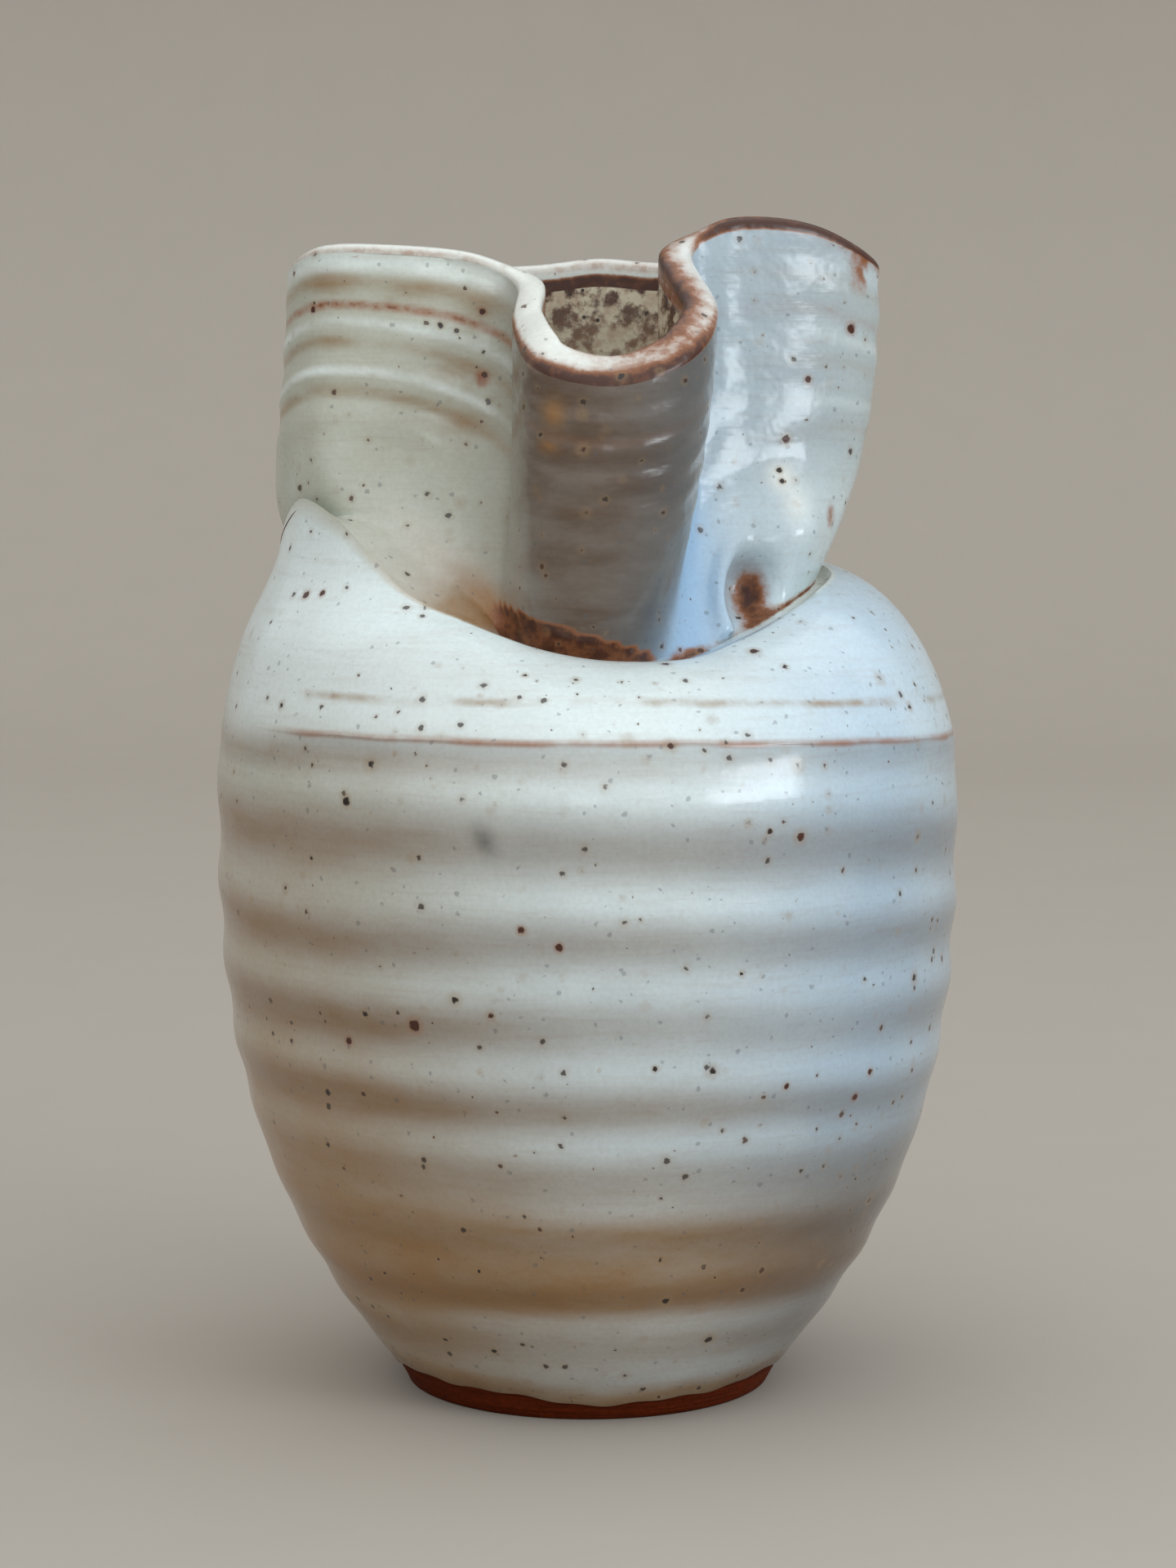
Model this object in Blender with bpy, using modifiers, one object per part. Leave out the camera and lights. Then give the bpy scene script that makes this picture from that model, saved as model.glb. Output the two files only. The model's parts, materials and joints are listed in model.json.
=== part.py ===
"""Hand-thrown stoneware vase: a ringed belly on a bare turned foot, with a tall neck whose front is folded
into a lobe between two wings. Metres, +Z up, the front faces -Y, the origin is under the foot's centre.
"""

import math

import bmesh
import bpy
import numpy as np

# Belly, measured on the finished outside
BELLY_RADIUS = 0.0561
BELLY_HEIGHT = 0.088
BELLY_FULLNESS = 2.7
SHOULDER_START = 0.094
SHOULDER_ROUNDNESS = 1.85
LEFT_SHOULDER_ROUNDNESS = 1.15

# Throwing rings: each lies a little closer to the one above it
RING_TOP = 0.095
RING_PITCH = 0.014
RING_CLOSING = 0.0003
RING_COUNT = 7
RING_RELIEF = 0.0006

# Turned foot, bare clay, and the line where the glaze stops above it
FOOT_RADIUS = 0.0281
FOOT_TOP_RADIUS = 0.0298
FOOT_HEIGHT = 0.0036
FOOT_RING_WIDTH = 0.0060
FOOT_RECESS = 0.0025
FOOT_ROUND = 0.0005
GLAZE_LINE_HEIGHT = 0.0046
GLAZE_LINE_RADIUS = 0.0307
GLAZE_LINE_WAVE = 0.0005

# Crest of the shoulder, the soft edge before the crease: reach from the axis and height
CREST_FRONT_REACH = 0.0372
CREST_FRONT_HEIGHT = 0.1133
CREST_RIGHT_REACH = 0.0370
CREST_BACK_REACH = 0.0360
CREST_LEFT_REACH = 0.0463
CREST_SIDE_RISE = 0.0113
CREST_BACK_RISE = 0.0130
CREST_LEFT_RISE = 0.0160
CREST_PEAK_RISE = 0.0220

# Crease at the foot of the neck, where the wall turns up again
CREASE_FRONT_REACH = 0.0330
CREASE_RIGHT_REACH = 0.0326
CREASE_BACK_REACH = 0.0310
CREASE_LEFT_REACH = 0.0435
CREASE_LOBE_WIDTH = 0.0243
CREASE_LOBE_CENTRE = 0.0009
CREASE_FOLD_DEPTH = 0.0090
CREASE_TUCK = 0.0016

# Mouth, measured on the outside of the rim
RIM_HEIGHT = 0.1773
LEFT_WING_DROP = 0.0041
BACK_DROP = 0.0055
FOLD_DROP = 0.0042
LOBE_DROP = 0.0245
LOBE_LIP_LEAN = 0.0036
LEFT_WING_REACH = 0.0452
RIGHT_WING_REACH = 0.0443
BACK_REACH = 0.0300
LEFT_WING_FRONT = 0.0125
RIGHT_WING_FRONT = 0.0090
LOBE_REACH = 0.0403
LOBE_WIDTH = 0.0297
LOBE_CENTRE = 0.0039
FOLD_WIDTH = 0.0252
FOLD_FRONT = 0.0110

# Wall of the neck between the crease and the rim
NECK_FLARE = 3.2
LEFT_WING_SWELL = 0.0022
SWELL_SHARE = 0.2
DIMPLE_DEPTH = 0.0030
DIMPLE_RADIUS = 0.0065
DIMPLE_RISE = 0.0050

# Wall and coats
BODY_WALL = 0.0060
NECK_WALL = 0.0050
FLOOR_THICKNESS = 0.0080
CREASE_WALL = 0.0055
GLAZE_COAT = 0.0006
CLEARANCE = 0.0003
COAT_LAP = 0.0030

# Columns of the mesh in each span between two stations round the neck
SPAN_COLUMNS = (2, 2, 2, 2, 2, 3, 3, 3, 3, 2, 2, 2, 3, 4, 4, 4, 4)
DIMPLE_COLUMN = sum(SPAN_COLUMNS[:11])

COLLECTION = "folded_neck_vase"


def clear_scene():
    for obj in list(bpy.data.objects):
        bpy.data.objects.remove(obj, do_unlink=True)


def new_material(name, colour, roughness):
    material = bpy.data.materials.new(name)
    material.use_nodes = True
    shader = material.node_tree.nodes["Principled BSDF"]
    shader.inputs["Base Color"].default_value = (*colour, 1.0)
    shader.inputs["Roughness"].default_value = roughness
    shader.inputs["Metallic"].default_value = 0.0
    return material


def crest_stations():
    """Direction, reach, height and roundness of the shoulder's crest.

    All three station lists run from the left wing's tip along the front to the right, then round the back.
    """
    front, right, back, left = CREST_FRONT_REACH, CREST_RIGHT_REACH, CREST_BACK_REACH, CREST_LEFT_REACH
    low, soft, steep = CREST_FRONT_HEIGHT, SHOULDER_ROUNDNESS, LEFT_SHOULDER_ROUNDNESS
    stations = np.array([
        (176, left, low + CREST_LEFT_RISE, steep),
        (196, 0.96 * left, low + CREST_PEAK_RISE, steep),
        (215, 0.88 * left, low + 0.70 * CREST_PEAK_RISE, 0.6 * steep + 0.4 * soft),
        (230, 1.04 * front, low + 0.40 * CREST_PEAK_RISE, soft),
        (241, 1.01 * front, low + 0.26 * CREST_PEAK_RISE, soft),
        (251, front, low + 0.15 * CREST_PEAK_RISE, soft),
        (261, front, low + 0.06 * CREST_PEAK_RISE, soft),
        (273, front, low, soft),
        (286, front, low, soft),
        (295, 1.01 * front, low + 0.08 * CREST_SIDE_RISE, soft),
        (303, 1.01 * front, low + 0.17 * CREST_SIDE_RISE, soft),
        (314, 1.01 * right, low + 0.42 * CREST_SIDE_RISE, soft),
        (333, 1.01 * right, low + 0.82 * CREST_SIDE_RISE, soft),
        (365, right, low + CREST_SIDE_RISE, soft),
        (400, right, low + CREST_BACK_RISE, soft),
        (450, back, low + CREST_BACK_RISE, soft),
        (502, 0.4 * back + 0.6 * left, low + CREST_BACK_RISE, 0.5 * steep + 0.5 * soft),
    ])
    angles = np.radians(stations[:, 0])
    return np.column_stack([stations[:, 1] * np.cos(angles), stations[:, 1] * np.sin(angles), stations[:, 2:]])


def crease_stations():
    """Plan of the crease, and how far it lies under the crest."""
    left = CREASE_LOBE_CENTRE - CREASE_LOBE_WIDTH / 2
    right = CREASE_LOBE_CENTRE + CREASE_LOBE_WIDTH / 2
    front = -CREASE_FRONT_REACH
    fold = front + CREASE_FOLD_DEPTH
    tuck = CREASE_TUCK
    return np.array([
        (-CREASE_LEFT_REACH, 0.1 * CREASE_BACK_REACH, 1.4 * tuck),
        (-0.86 * CREASE_LEFT_REACH, 0.34 * front, 2.2 * tuck),
        (-0.63 * CREASE_LEFT_REACH, 0.52 * front, -0.6 * tuck),
        (left - 0.19 * CREASE_LEFT_REACH, fold + 0.06 * CREASE_FRONT_REACH, 0.3 * tuck),
        (left - 0.04 * CREASE_LEFT_REACH, fold, 1.2 * tuck),
        (left, 0.83 * front, 1.4 * tuck),
        (left + 0.16 * CREASE_LOBE_WIDTH, 0.94 * front, 1.3 * tuck),
        (CREASE_LOBE_CENTRE, front, tuck),
        (right - 0.16 * CREASE_LOBE_WIDTH, 0.95 * front, tuck),
        (right, 0.83 * front, tuck),
        (right + 0.09 * CREASE_RIGHT_REACH, fold + 0.045 * CREASE_FRONT_REACH, tuck),
        (right + 0.27 * CREASE_RIGHT_REACH, 0.56 * front, tuck),
        (0.89 * CREASE_RIGHT_REACH, 0.30 * front, tuck),
        (CREASE_RIGHT_REACH, 0.1 * CREASE_BACK_REACH, tuck),
        (0.77 * CREASE_RIGHT_REACH, 0.71 * CREASE_BACK_REACH, tuck),
        (0.0, CREASE_BACK_REACH, tuck),
        (-0.69 * CREASE_LEFT_REACH, 0.74 * CREASE_BACK_REACH, tuck),
    ])


def rim_stations():
    """Plan and height of the rim's outer edge."""
    left = LOBE_CENTRE - LOBE_WIDTH / 2
    right = LOBE_CENTRE + LOBE_WIDTH / 2
    fold_left = LOBE_CENTRE - FOLD_WIDTH / 2
    fold_right = LOBE_CENTRE + FOLD_WIDTH / 2
    side = -(FOLD_FRONT + 0.48 * (LOBE_REACH - FOLD_FRONT))
    corner = -(FOLD_FRONT + 0.86 * (LOBE_REACH - FOLD_FRONT))
    left_rim = RIM_HEIGHT - LEFT_WING_DROP
    back_rim = RIM_HEIGHT - BACK_DROP
    return np.array([
        (-LEFT_WING_REACH, 0.13 * BACK_REACH, left_rim - 0.7 * FOLD_DROP),
        (-0.90 * LEFT_WING_REACH, -0.64 * LEFT_WING_FRONT, left_rim),
        (-0.62 * LEFT_WING_REACH, -LEFT_WING_FRONT, left_rim),
        (-0.38 * LEFT_WING_REACH, -1.06 * LEFT_WING_FRONT, left_rim - 0.3 * FOLD_DROP),
        (fold_left, -FOLD_FRONT, left_rim - FOLD_DROP),
        (left, side, RIM_HEIGHT - 0.62 * LOBE_DROP),
        (left + 0.15 * LOBE_WIDTH, corner, RIM_HEIGHT - 0.89 * LOBE_DROP),
        (LOBE_CENTRE, -LOBE_REACH, RIM_HEIGHT - LOBE_DROP),
        (right - 0.15 * LOBE_WIDTH, corner, RIM_HEIGHT - 0.87 * LOBE_DROP),
        (right, side, RIM_HEIGHT - 0.58 * LOBE_DROP),
        (fold_right, -FOLD_FRONT, RIM_HEIGHT - FOLD_DROP),
        (0.49 * RIGHT_WING_REACH, -RIGHT_WING_FRONT, RIM_HEIGHT),
        (0.78 * RIGHT_WING_REACH, -0.55 * RIGHT_WING_FRONT, RIM_HEIGHT - 0.2 * FOLD_DROP),
        (RIGHT_WING_REACH, 0.13 * BACK_REACH, RIM_HEIGHT - 1.4 * FOLD_DROP),
        (0.81 * RIGHT_WING_REACH, 0.66 * BACK_REACH, back_rim),
        (0.05 * RIGHT_WING_REACH, BACK_REACH, back_rim),
        (-0.82 * LEFT_WING_REACH, 0.68 * BACK_REACH, back_rim - 0.3 * FOLD_DROP),
    ])


def swell_stations():
    """Sideways swell of the left wing just above the crease."""
    swell = np.zeros((len(SPAN_COLUMNS), 3))
    swell[0] = (-LEFT_WING_SWELL, 0, 0)
    swell[1] = (-0.6 * LEFT_WING_SWELL, -0.4 * LEFT_WING_SWELL, 0)
    swell[-1] = (-0.5 * LEFT_WING_SWELL, 0.4 * LEFT_WING_SWELL, 0)
    return swell


def closed_curve(stations):
    """Smooth closed curve through the stations, with the wanted columns in each span."""
    points = []
    count = len(stations)
    for k, columns in enumerate(SPAN_COLUMNS):
        a, b, c, d = (stations[(k + step) % count] for step in (-1, 0, 1, 2))
        for column in range(columns):
            t = column / columns
            points.append(0.5 * (2 * b + (c - a) * t + (2 * a - 5 * b + 4 * c - d) * t**2
                                 + (3 * b - 3 * c + d - a) * t**3))
    return np.array(points)


def moved_in(ring, distance):
    """A ring moved square to its plan, towards its inside."""
    along = np.roll(ring, -1, axis=0)[:, :2] - np.roll(ring, 1, axis=0)[:, :2]
    across = np.column_stack([-along[:, 1], along[:, 0]])
    across /= np.linalg.norm(across, axis=1, keepdims=True)
    shifted = ring.copy()
    shifted[:, :2] += across * distance
    return shifted


def raised(ring, height):
    return ring + np.column_stack([np.zeros((len(ring), 2)), height + np.zeros(len(ring))])


def circle(radius, height, angles):
    return np.column_stack([radius * np.cos(angles), radius * np.sin(angles), height + 0 * angles])


def belly_radius(height):
    """Plain outside radius of the belly, without its rings."""
    share = np.clip((height - GLAZE_LINE_HEIGHT) / (BELLY_HEIGHT - GLAZE_LINE_HEIGHT), 0, 1)
    return GLAZE_LINE_RADIUS + (BELLY_RADIUS - GLAZE_LINE_RADIUS) * (1 - (1 - share) ** BELLY_FULLNESS)


def shoulder_arc(share, roundness):
    """Outward and upward shares along a superelliptic quarter turn."""
    turn = share * math.pi / 2
    return np.cos(turn) ** (2 / roundness), np.sin(turn) ** (2 / roundness)


def belly_rows(angles):
    wave = GLAZE_LINE_WAVE * (np.sin(3 * angles + 0.6) + 0.6 * np.sin(7 * angles))
    rows = [circle(GLAZE_LINE_RADIUS, GLAZE_LINE_HEIGHT + wave, angles)]
    for half in range(2 * RING_COUNT, -1, -1):
        turn = half / 2
        height = RING_TOP - RING_PITCH * turn + RING_CLOSING * turn**2
        relief = RING_RELIEF if half % 2 == 0 else -RING_RELIEF
        rows.append(circle(belly_radius(height) + relief, height, angles))
    return rows


def shoulder_rows(angles, reach, height, roundness):
    rows = []
    for share in (0.3, 0.55, 0.78, 1.0):
        out, up = shoulder_arc(share, roundness)
        radius = reach + (BELLY_RADIUS - reach) * out
        rows.append(circle(radius, SHOULDER_START + (height - SHOULDER_START) * up, angles))
    return rows


def neck_ring(crease, rim, swell, share):
    """Outside of the neck at a share of the way up from the crease to the rim."""
    flare = 1 - (1 - share) ** NECK_FLARE
    rise = share / SWELL_SHARE
    ring = crease + (rim - crease) * flare + swell * rise * math.exp(1 - rise)
    ring[:, 2] = crease[:, 2] + (rim[:, 2] - crease[:, 2]) * share
    dimple = crease[DIMPLE_COLUMN] + np.array([0, 0, DIMPLE_RISE])
    away = np.linalg.norm(ring - dimple, axis=1, keepdims=True)
    return moved_in(ring, DIMPLE_DEPTH * np.exp(-(away / DIMPLE_RADIUS) ** 2))


def finished_rows():
    """Rings of the finished surface, from the glaze line up the outside, over the rim and down to the floor.

    Returns the rings and the numbers of those at the crease, where the coats meet and at the inner crease.
    """
    crest = closed_curve(crest_stations())
    angles = np.arctan2(crest[:, 1], crest[:, 0])
    crease = closed_curve(crease_stations())
    crease[:, 2] = crest[:, 2] - crease[:, 2]
    rim = closed_curve(rim_stations())
    swell = closed_curve(swell_stations())

    rows = belly_rows(angles)
    rows += shoulder_rows(angles, np.linalg.norm(crest[:, :2], axis=1), crest[:, 2], crest[:, 3])
    rows.append(raised(0.55 * crest[:, :3] + 0.45 * crease, -0.15 * CREASE_TUCK))
    rows.append(crease)
    marks = {"crease": len(rows) - 1}
    rows += [neck_ring(crease, rim, swell, share) for share in (0.1, 0.25, 0.45, 0.68, 0.88)]

    fallen = np.clip((RIM_HEIGHT - 2 * FOLD_DROP - rim[:, 2]) / (LOBE_DROP - 2 * FOLD_DROP), 0, 1)
    lean = LOBE_LIP_LEAN * fallen
    edge = 0.3 * NECK_WALL
    rows.append(raised(rim, -edge))
    rows.append(raised(moved_in(rim, 0.3 * NECK_WALL), 0.3 * lean))
    rows.append(raised(moved_in(rim, 0.7 * NECK_WALL), 0.7 * lean))
    rows.append(raised(moved_in(rim, NECK_WALL), lean - edge))
    rows.append(raised(moved_in(rim, NECK_WALL), lean - edge - COAT_LAP))
    marks["lap"] = len(rows) - 1
    for share in (0.72, 0.48, 0.24, 0.06):
        rows.append(moved_in(neck_ring(crease, rim, swell, share), NECK_WALL))
    inner_crease = raised(moved_in(crease, NECK_WALL), -CREASE_WALL)
    rows.append(inner_crease)
    marks["inner_crease"] = len(rows) - 1

    inner_radius = BELLY_RADIUS - BODY_WALL
    inner_reach = np.linalg.norm(inner_crease[:, :2], axis=1)
    start = SHOULDER_START - BODY_WALL
    turned = np.unwrap(np.arctan2(inner_crease[:, 1], inner_crease[:, 0]))
    turned += np.round((np.unwrap(angles) - turned) / math.tau) * math.tau
    for share in (0.72, 0.45, 0.2):
        out, rise = shoulder_arc(share, SHOULDER_ROUNDNESS)
        direction = turned + (np.unwrap(angles) - turned) * out
        radius = inner_reach + (inner_radius - inner_reach) * out
        rows.append(circle(radius, start + (inner_crease[:, 2] - start) * rise, direction))
    for share in (1.0, 0.74, 0.5, 0.3, 0.13):
        level = FLOOR_THICKNESS + (start - FLOOR_THICKNESS) * share
        rows.append(circle(belly_radius(level) - BODY_WALL, level, angles))
    floor_radius = belly_radius(FLOOR_THICKNESS) - BODY_WALL
    rows.append(circle(0.7 * floor_radius, FLOOR_THICKNESS, angles))
    rows.append(np.array([(0.0, 0.0, FLOOR_THICKNESS)]))
    return rows, marks


def skin(rows, closed=False):
    """Mesh of triangles across a list of rings. A ring of one point is a pole, and a closed list meets itself."""
    mesh = bmesh.new()
    rings = [[mesh.verts.new(point) for point in row] for row in rows]
    for lower, upper in zip(rings, rings[1:]):
        count = max(len(lower), len(upper))
        for k in range(count):
            following = (k + 1) % count
            if len(lower) == 1:
                mesh.faces.new((lower[0], upper[following], upper[k]))
            elif len(upper) == 1:
                mesh.faces.new((lower[k], lower[following], upper[0]))
            else:
                mesh.faces.new((lower[k], lower[following], upper[following]))
                mesh.faces.new((lower[k], upper[following], upper[k]))
    if closed:
        first, last = rings[0], rings[-1]
        for k in range(len(first)):
            following = (k + 1) % len(first)
            mesh.faces.new((last[k], last[following], first[k]))
            mesh.faces.new((first[k], last[following], first[following]))
    mesh.normal_update()
    return mesh


def sunk(rows, depth):
    """The same rings, moved into the wall square to the surface."""
    mesh = skin(rows)
    mesh.verts.ensure_lookup_table()
    normals = iter([np.array(vert.normal) for vert in mesh.verts])
    moved = [np.array([point - depth * next(normals) for point in row]) for row in rows]
    mesh.free()
    return moved


def add_object(name, mesh, material, collection):
    data = bpy.data.meshes.new(name)
    mesh.to_mesh(data)
    mesh.free()
    data.materials.append(material)
    data.shade_smooth()
    data.set_sharp_from_angle(angle=math.radians(50))
    obj = bpy.data.objects.new(name, data)
    collection.objects.link(obj)
    return obj


def add_coat(name, rows, material, collection):
    """A glaze coat: the finished surface, given its thickness into the wall."""
    obj = add_object(name, skin(rows), material, collection)
    solidify = obj.modifiers.new("coat", "SOLIDIFY")
    solidify.thickness = GLAZE_COAT
    solidify.offset = -1.0
    return obj


def foot_rows(angles):
    """Underside and side of the foot, from the middle of its recess out and up to the glaze line."""
    ring = FOOT_RADIUS - FOOT_RING_WIDTH
    return [
        np.array([(0.0, 0.0, FOOT_RECESS)]),
        circle(ring - FOOT_RECESS, FOOT_RECESS, angles),
        circle(ring, 0.0, angles),
        circle(FOOT_RADIUS - FOOT_ROUND, 0.0, angles),
        circle(FOOT_RADIUS, FOOT_ROUND, angles),
        circle(FOOT_TOP_RADIUS, FOOT_HEIGHT, angles),
    ]


def build():
    clear_scene()
    collection = bpy.data.collections.new(COLLECTION)
    bpy.context.scene.collection.children.link(collection)
    clay = new_material("stoneware", (0.060, 0.016, 0.005), 0.75)
    pale = new_material("pale_glaze", (0.46, 0.46, 0.40), 0.22)
    liner = new_material("liner_glaze", (0.26, 0.19, 0.12), 0.30)

    rows, marks = finished_rows()
    crease, lap, inner_crease = marks["crease"], marks["lap"], marks["inner_crease"]
    wall = sunk(rows, GLAZE_COAT + CLEARANCE)
    angles = np.arctan2(rows[0][:, 1], rows[0][:, 0])

    body = foot_rows(angles) + wall[: crease + 1] + wall[inner_crease:]
    add_object("thrown_body", skin(body), clay, collection)

    seat = raised(wall[crease], CLEARANCE)
    inner_seat = raised(wall[inner_crease], CLEARANCE)
    neck = [seat] + wall[crease + 1 : inner_crease] + [inner_seat]
    add_object("folded_neck", skin(neck, closed=True), clay, collection)

    add_coat("outer_glaze", rows[:lap], pale, collection)
    add_coat("inner_glaze", rows[lap:], liner, collection)


if __name__ == "__main__":
    build()
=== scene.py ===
"""Hand-thrown stoneware vase with a folded neck: the clay body and neck, and the glaze inside and out.

The front faces -Y, +Z is up, and the origin is under the centre of the foot. Sizes are in metres, and the
charts and the places of the glaze's tones are in millimetres.
"""

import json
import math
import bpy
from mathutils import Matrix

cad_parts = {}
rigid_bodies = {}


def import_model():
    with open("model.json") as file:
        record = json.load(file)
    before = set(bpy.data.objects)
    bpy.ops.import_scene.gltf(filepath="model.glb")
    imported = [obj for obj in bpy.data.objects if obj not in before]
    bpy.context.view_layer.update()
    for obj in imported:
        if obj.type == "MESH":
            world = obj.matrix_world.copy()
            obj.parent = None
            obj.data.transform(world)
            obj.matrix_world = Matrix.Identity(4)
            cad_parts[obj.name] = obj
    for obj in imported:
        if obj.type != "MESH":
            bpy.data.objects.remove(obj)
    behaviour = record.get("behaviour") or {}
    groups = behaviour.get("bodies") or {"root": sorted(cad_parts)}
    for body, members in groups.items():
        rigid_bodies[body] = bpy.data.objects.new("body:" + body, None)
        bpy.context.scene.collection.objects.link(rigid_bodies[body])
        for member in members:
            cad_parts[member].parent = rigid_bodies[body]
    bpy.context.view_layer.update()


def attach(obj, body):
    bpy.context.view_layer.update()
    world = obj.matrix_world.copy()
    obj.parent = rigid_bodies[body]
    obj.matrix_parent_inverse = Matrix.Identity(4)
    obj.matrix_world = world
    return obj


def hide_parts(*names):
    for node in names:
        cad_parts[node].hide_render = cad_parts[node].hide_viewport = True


bl_info = {
    "name": "Folded Neck Vase",
    "version": (1, 0, 0),
    "blender": (4, 5, 0),
    "location": "View3D > Sidebar > Vase",
    "description": "Models a ringed stoneware vase with a folded neck, and its speckled pale glaze",
    "category": "Add Mesh",
}

import bmesh
import bpy
import numpy as np
from bpy.props import FloatProperty, FloatVectorProperty, PointerProperty

for leftover in list(bpy.data.objects):
    bpy.data.objects.remove(leftover, do_unlink=True)
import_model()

MM = 0.001

# The neck is charted at 17 stations, from the left wing's tip along the front and round the back.
# Crest of the shoulder: direction in degrees, reach, height, and how square the shoulder's curve is
CREST = (
    (176, 46.0, 128.0, 1.70),
    (194, 44.4, 135.6, 1.70),
    (210, 41.8, 132.4, 1.65),
    (227, 39.2, 122.9, 1.60),
    (241, 37.6, 119.0, 1.60),
    (251, 37.3, 116.6, 1.60),
    (261, 37.2, 114.6, 1.65),
    (273, 37.2, 113.3, 1.70),
    (286, 37.4, 113.1, 1.75),
    (295, 37.6, 113.7, 1.80),
    (303, 37.6, 115.4, 1.85),
    (314, 37.5, 117.8, 1.85),
    (333, 37.4, 121.8, 1.85),
    (365, 37.0, 124.6, 1.85),
    (400, 37.0, 126.3, 1.85),
    (450, 36.0, 126.3, 1.85),
    (502, 42.2, 126.3, 1.60),
)
# How far the crest stands up from the round of the shoulder
LIFT = (5.0, 12.0, 9.5, 2.5, 0.5, 0, 0, 0, 0, 0, 0, 0, 0, 0, 0, 0, 1.0)
# Crease at the foot of the neck
CREASE = (
    (-43.5, 3.0, 127.0),
    (-37.8, -12.0, 133.0),
    (-30.5, -16.0, 132.0),
    (-22.4, -19.5, 126.0),
    (-15.6, -23.2, 120.2),
    (-11.8, -27.6, 115.2),
    (-8.0, -31.3, 112.5),
    (-1.0, -33.0, 111.5),
    (5.0, -32.0, 111.4),
    (9.4, -28.5, 111.8),
    (14.2, -25.3, 113.0),
    (20.2, -21.8, 115.2),
    (30.0, -12.4, 120.2),
    (34.4, 3.0, 123.6),
    (25.0, 22.0, 124.7),
    (0.0, 31.0, 124.7),
    (-30.0, 23.0, 124.7),
)
# Outer edge of the rim
RIM = (
    (-45.2, 4.0, 170.3),
    (-40.7, -8.0, 173.2),
    (-29.0, -12.3, 173.2),
    (-17.2, -12.6, 172.0),
    (-10.6, -14.4, 168.6),
    (-10.9, -25.0, 162.1),
    (-7.4, -36.8, 156.0),
    (3.9, -40.4, 153.6),
    (14.5, -36.2, 157.3),
    (18.8, -25.0, 164.2),
    (15.4, -12.2, 172.8),
    (21.7, -9.0, 177.3),
    (34.5, -5.0, 176.5),
    (44.3, 4.0, 171.4),
    (35.9, 19.8, 171.8),
    (2.2, 30.0, 171.8),
    (-37.0, 20.4, 170.5),
)
# Thickness of the wall, as a share of the neck's wall
WALL = (0.92, 0.88, 0.84, 0.82, 0.80, 0.88, 0.98, 1.0, 0.98, 1.0, 1.0, 0.92, 0.88, 0.92, 0.96, 0.96, 0.96)
# How quickly the wall spreads above the crease, as a share of the neck's flare
FLARE = (1.0, 1.0, 1.0, 0.95, 0.90, 0.95, 0.88, 0.75, 0.60, 0.56, 0.70, 0.92, 0.95, 0.88, 1.0, 1.0, 1.0)
# Throwing rings up the neck, and how strongly they show
NECK_RINGS = (5.7, 5.7, 5.7, 5.7, 6.0, 8.0, 9.5, 9.5, 9.5, 9.0, 8.0, 6.5, 6.0, 6.0, 6.0, 6.0, 5.8)
RING_SHOW = (1.0, 1.0, 1.0, 0.9, 0.4, 0.2, 0.9, 1.1, 1.1, 0.6, 0.3, 0.6, 1.0, 1.0, 1.0, 1.0, 1.0)
# Columns of the mesh from each station to the next
SPANS = (12, 12, 12, 12, 12, 14, 14, 14, 14, 14, 16, 18, 16, 20, 24, 24, 20)
COLUMNS = sum(SPANS)

# Heights at which the light catches the belly's throwing rings, and how deep the grooves are at a height
RING_LEVELS = (0.0, 8.0, 17.0, 26.0, 35.2, 45.2, 56.4, 68.2, 80.3, 95.8, 104.5, 118.0)
GROOVE_DEPTHS = ((4, 8, 13, 18, 22, 27, 31, 40, 50, 62, 74, 88, 96, 100, 104),
                 (0, 0.3, 0.5, 0.8, 0.8, 0.5, 0.55, 0.35, 1.05, 0.95, 1.05, 1.1, 0.8, 0.7, 0.1))
# Ear at the right of the lobe: x and z of its pit, half its width and height, and its depth
PIT_X, PIT_Z, PIT_WIDTH, PIT_HEIGHT, PIT_DEPTH = 24.6, 122, 5.2, 7.5, 5.5
# The inside of the wall takes the pit this much wider, to clear it
INNER_SPREAD = 1.8
# Share of the neck's height at which the rounded rim starts, and squareness of the shoulder's inside
NECK_TOP, INNER_SQUARENESS = 0.965, 1.85
# How far the outer glaze laps down inside the rim, and how far the floor dips to its middle
LAP, FLOOR_DIP = 3.0 * MM, 0.6 * MM
# Flat ring under the foot, the recess inside it, the rounding of its edge, and its step in from the glaze
FOOT_RING, FOOT_RECESS, FOOT_EDGE, FOOT_STEP = 6.0 * MM, 2.5 * MM, 0.3 * MM, 0.55 * MM
# How far the crease on the inside lies below the one on the outside
INNER_DROP = 5.5 * MM

# Rows of the outside and of the inside, and the place past the rim of rows that are far below it
BELLY_ROWS, SHOULDER_ROWS, DIP_ROWS, NECK_ROWS, RIM_ROWS, LAP_ROWS = 74, 26, 8, 42, 12, 4
INNER_NECK_ROWS, INNER_SHOULDER_ROWS, INNER_BELLY_ROWS = 22, 12, 40
FAR_BELOW = -9
# Rows of the outside that give way to the foot, and rows of the foot's side
BARE_ROWS, FOOT_ROWS = 6, 9

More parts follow.
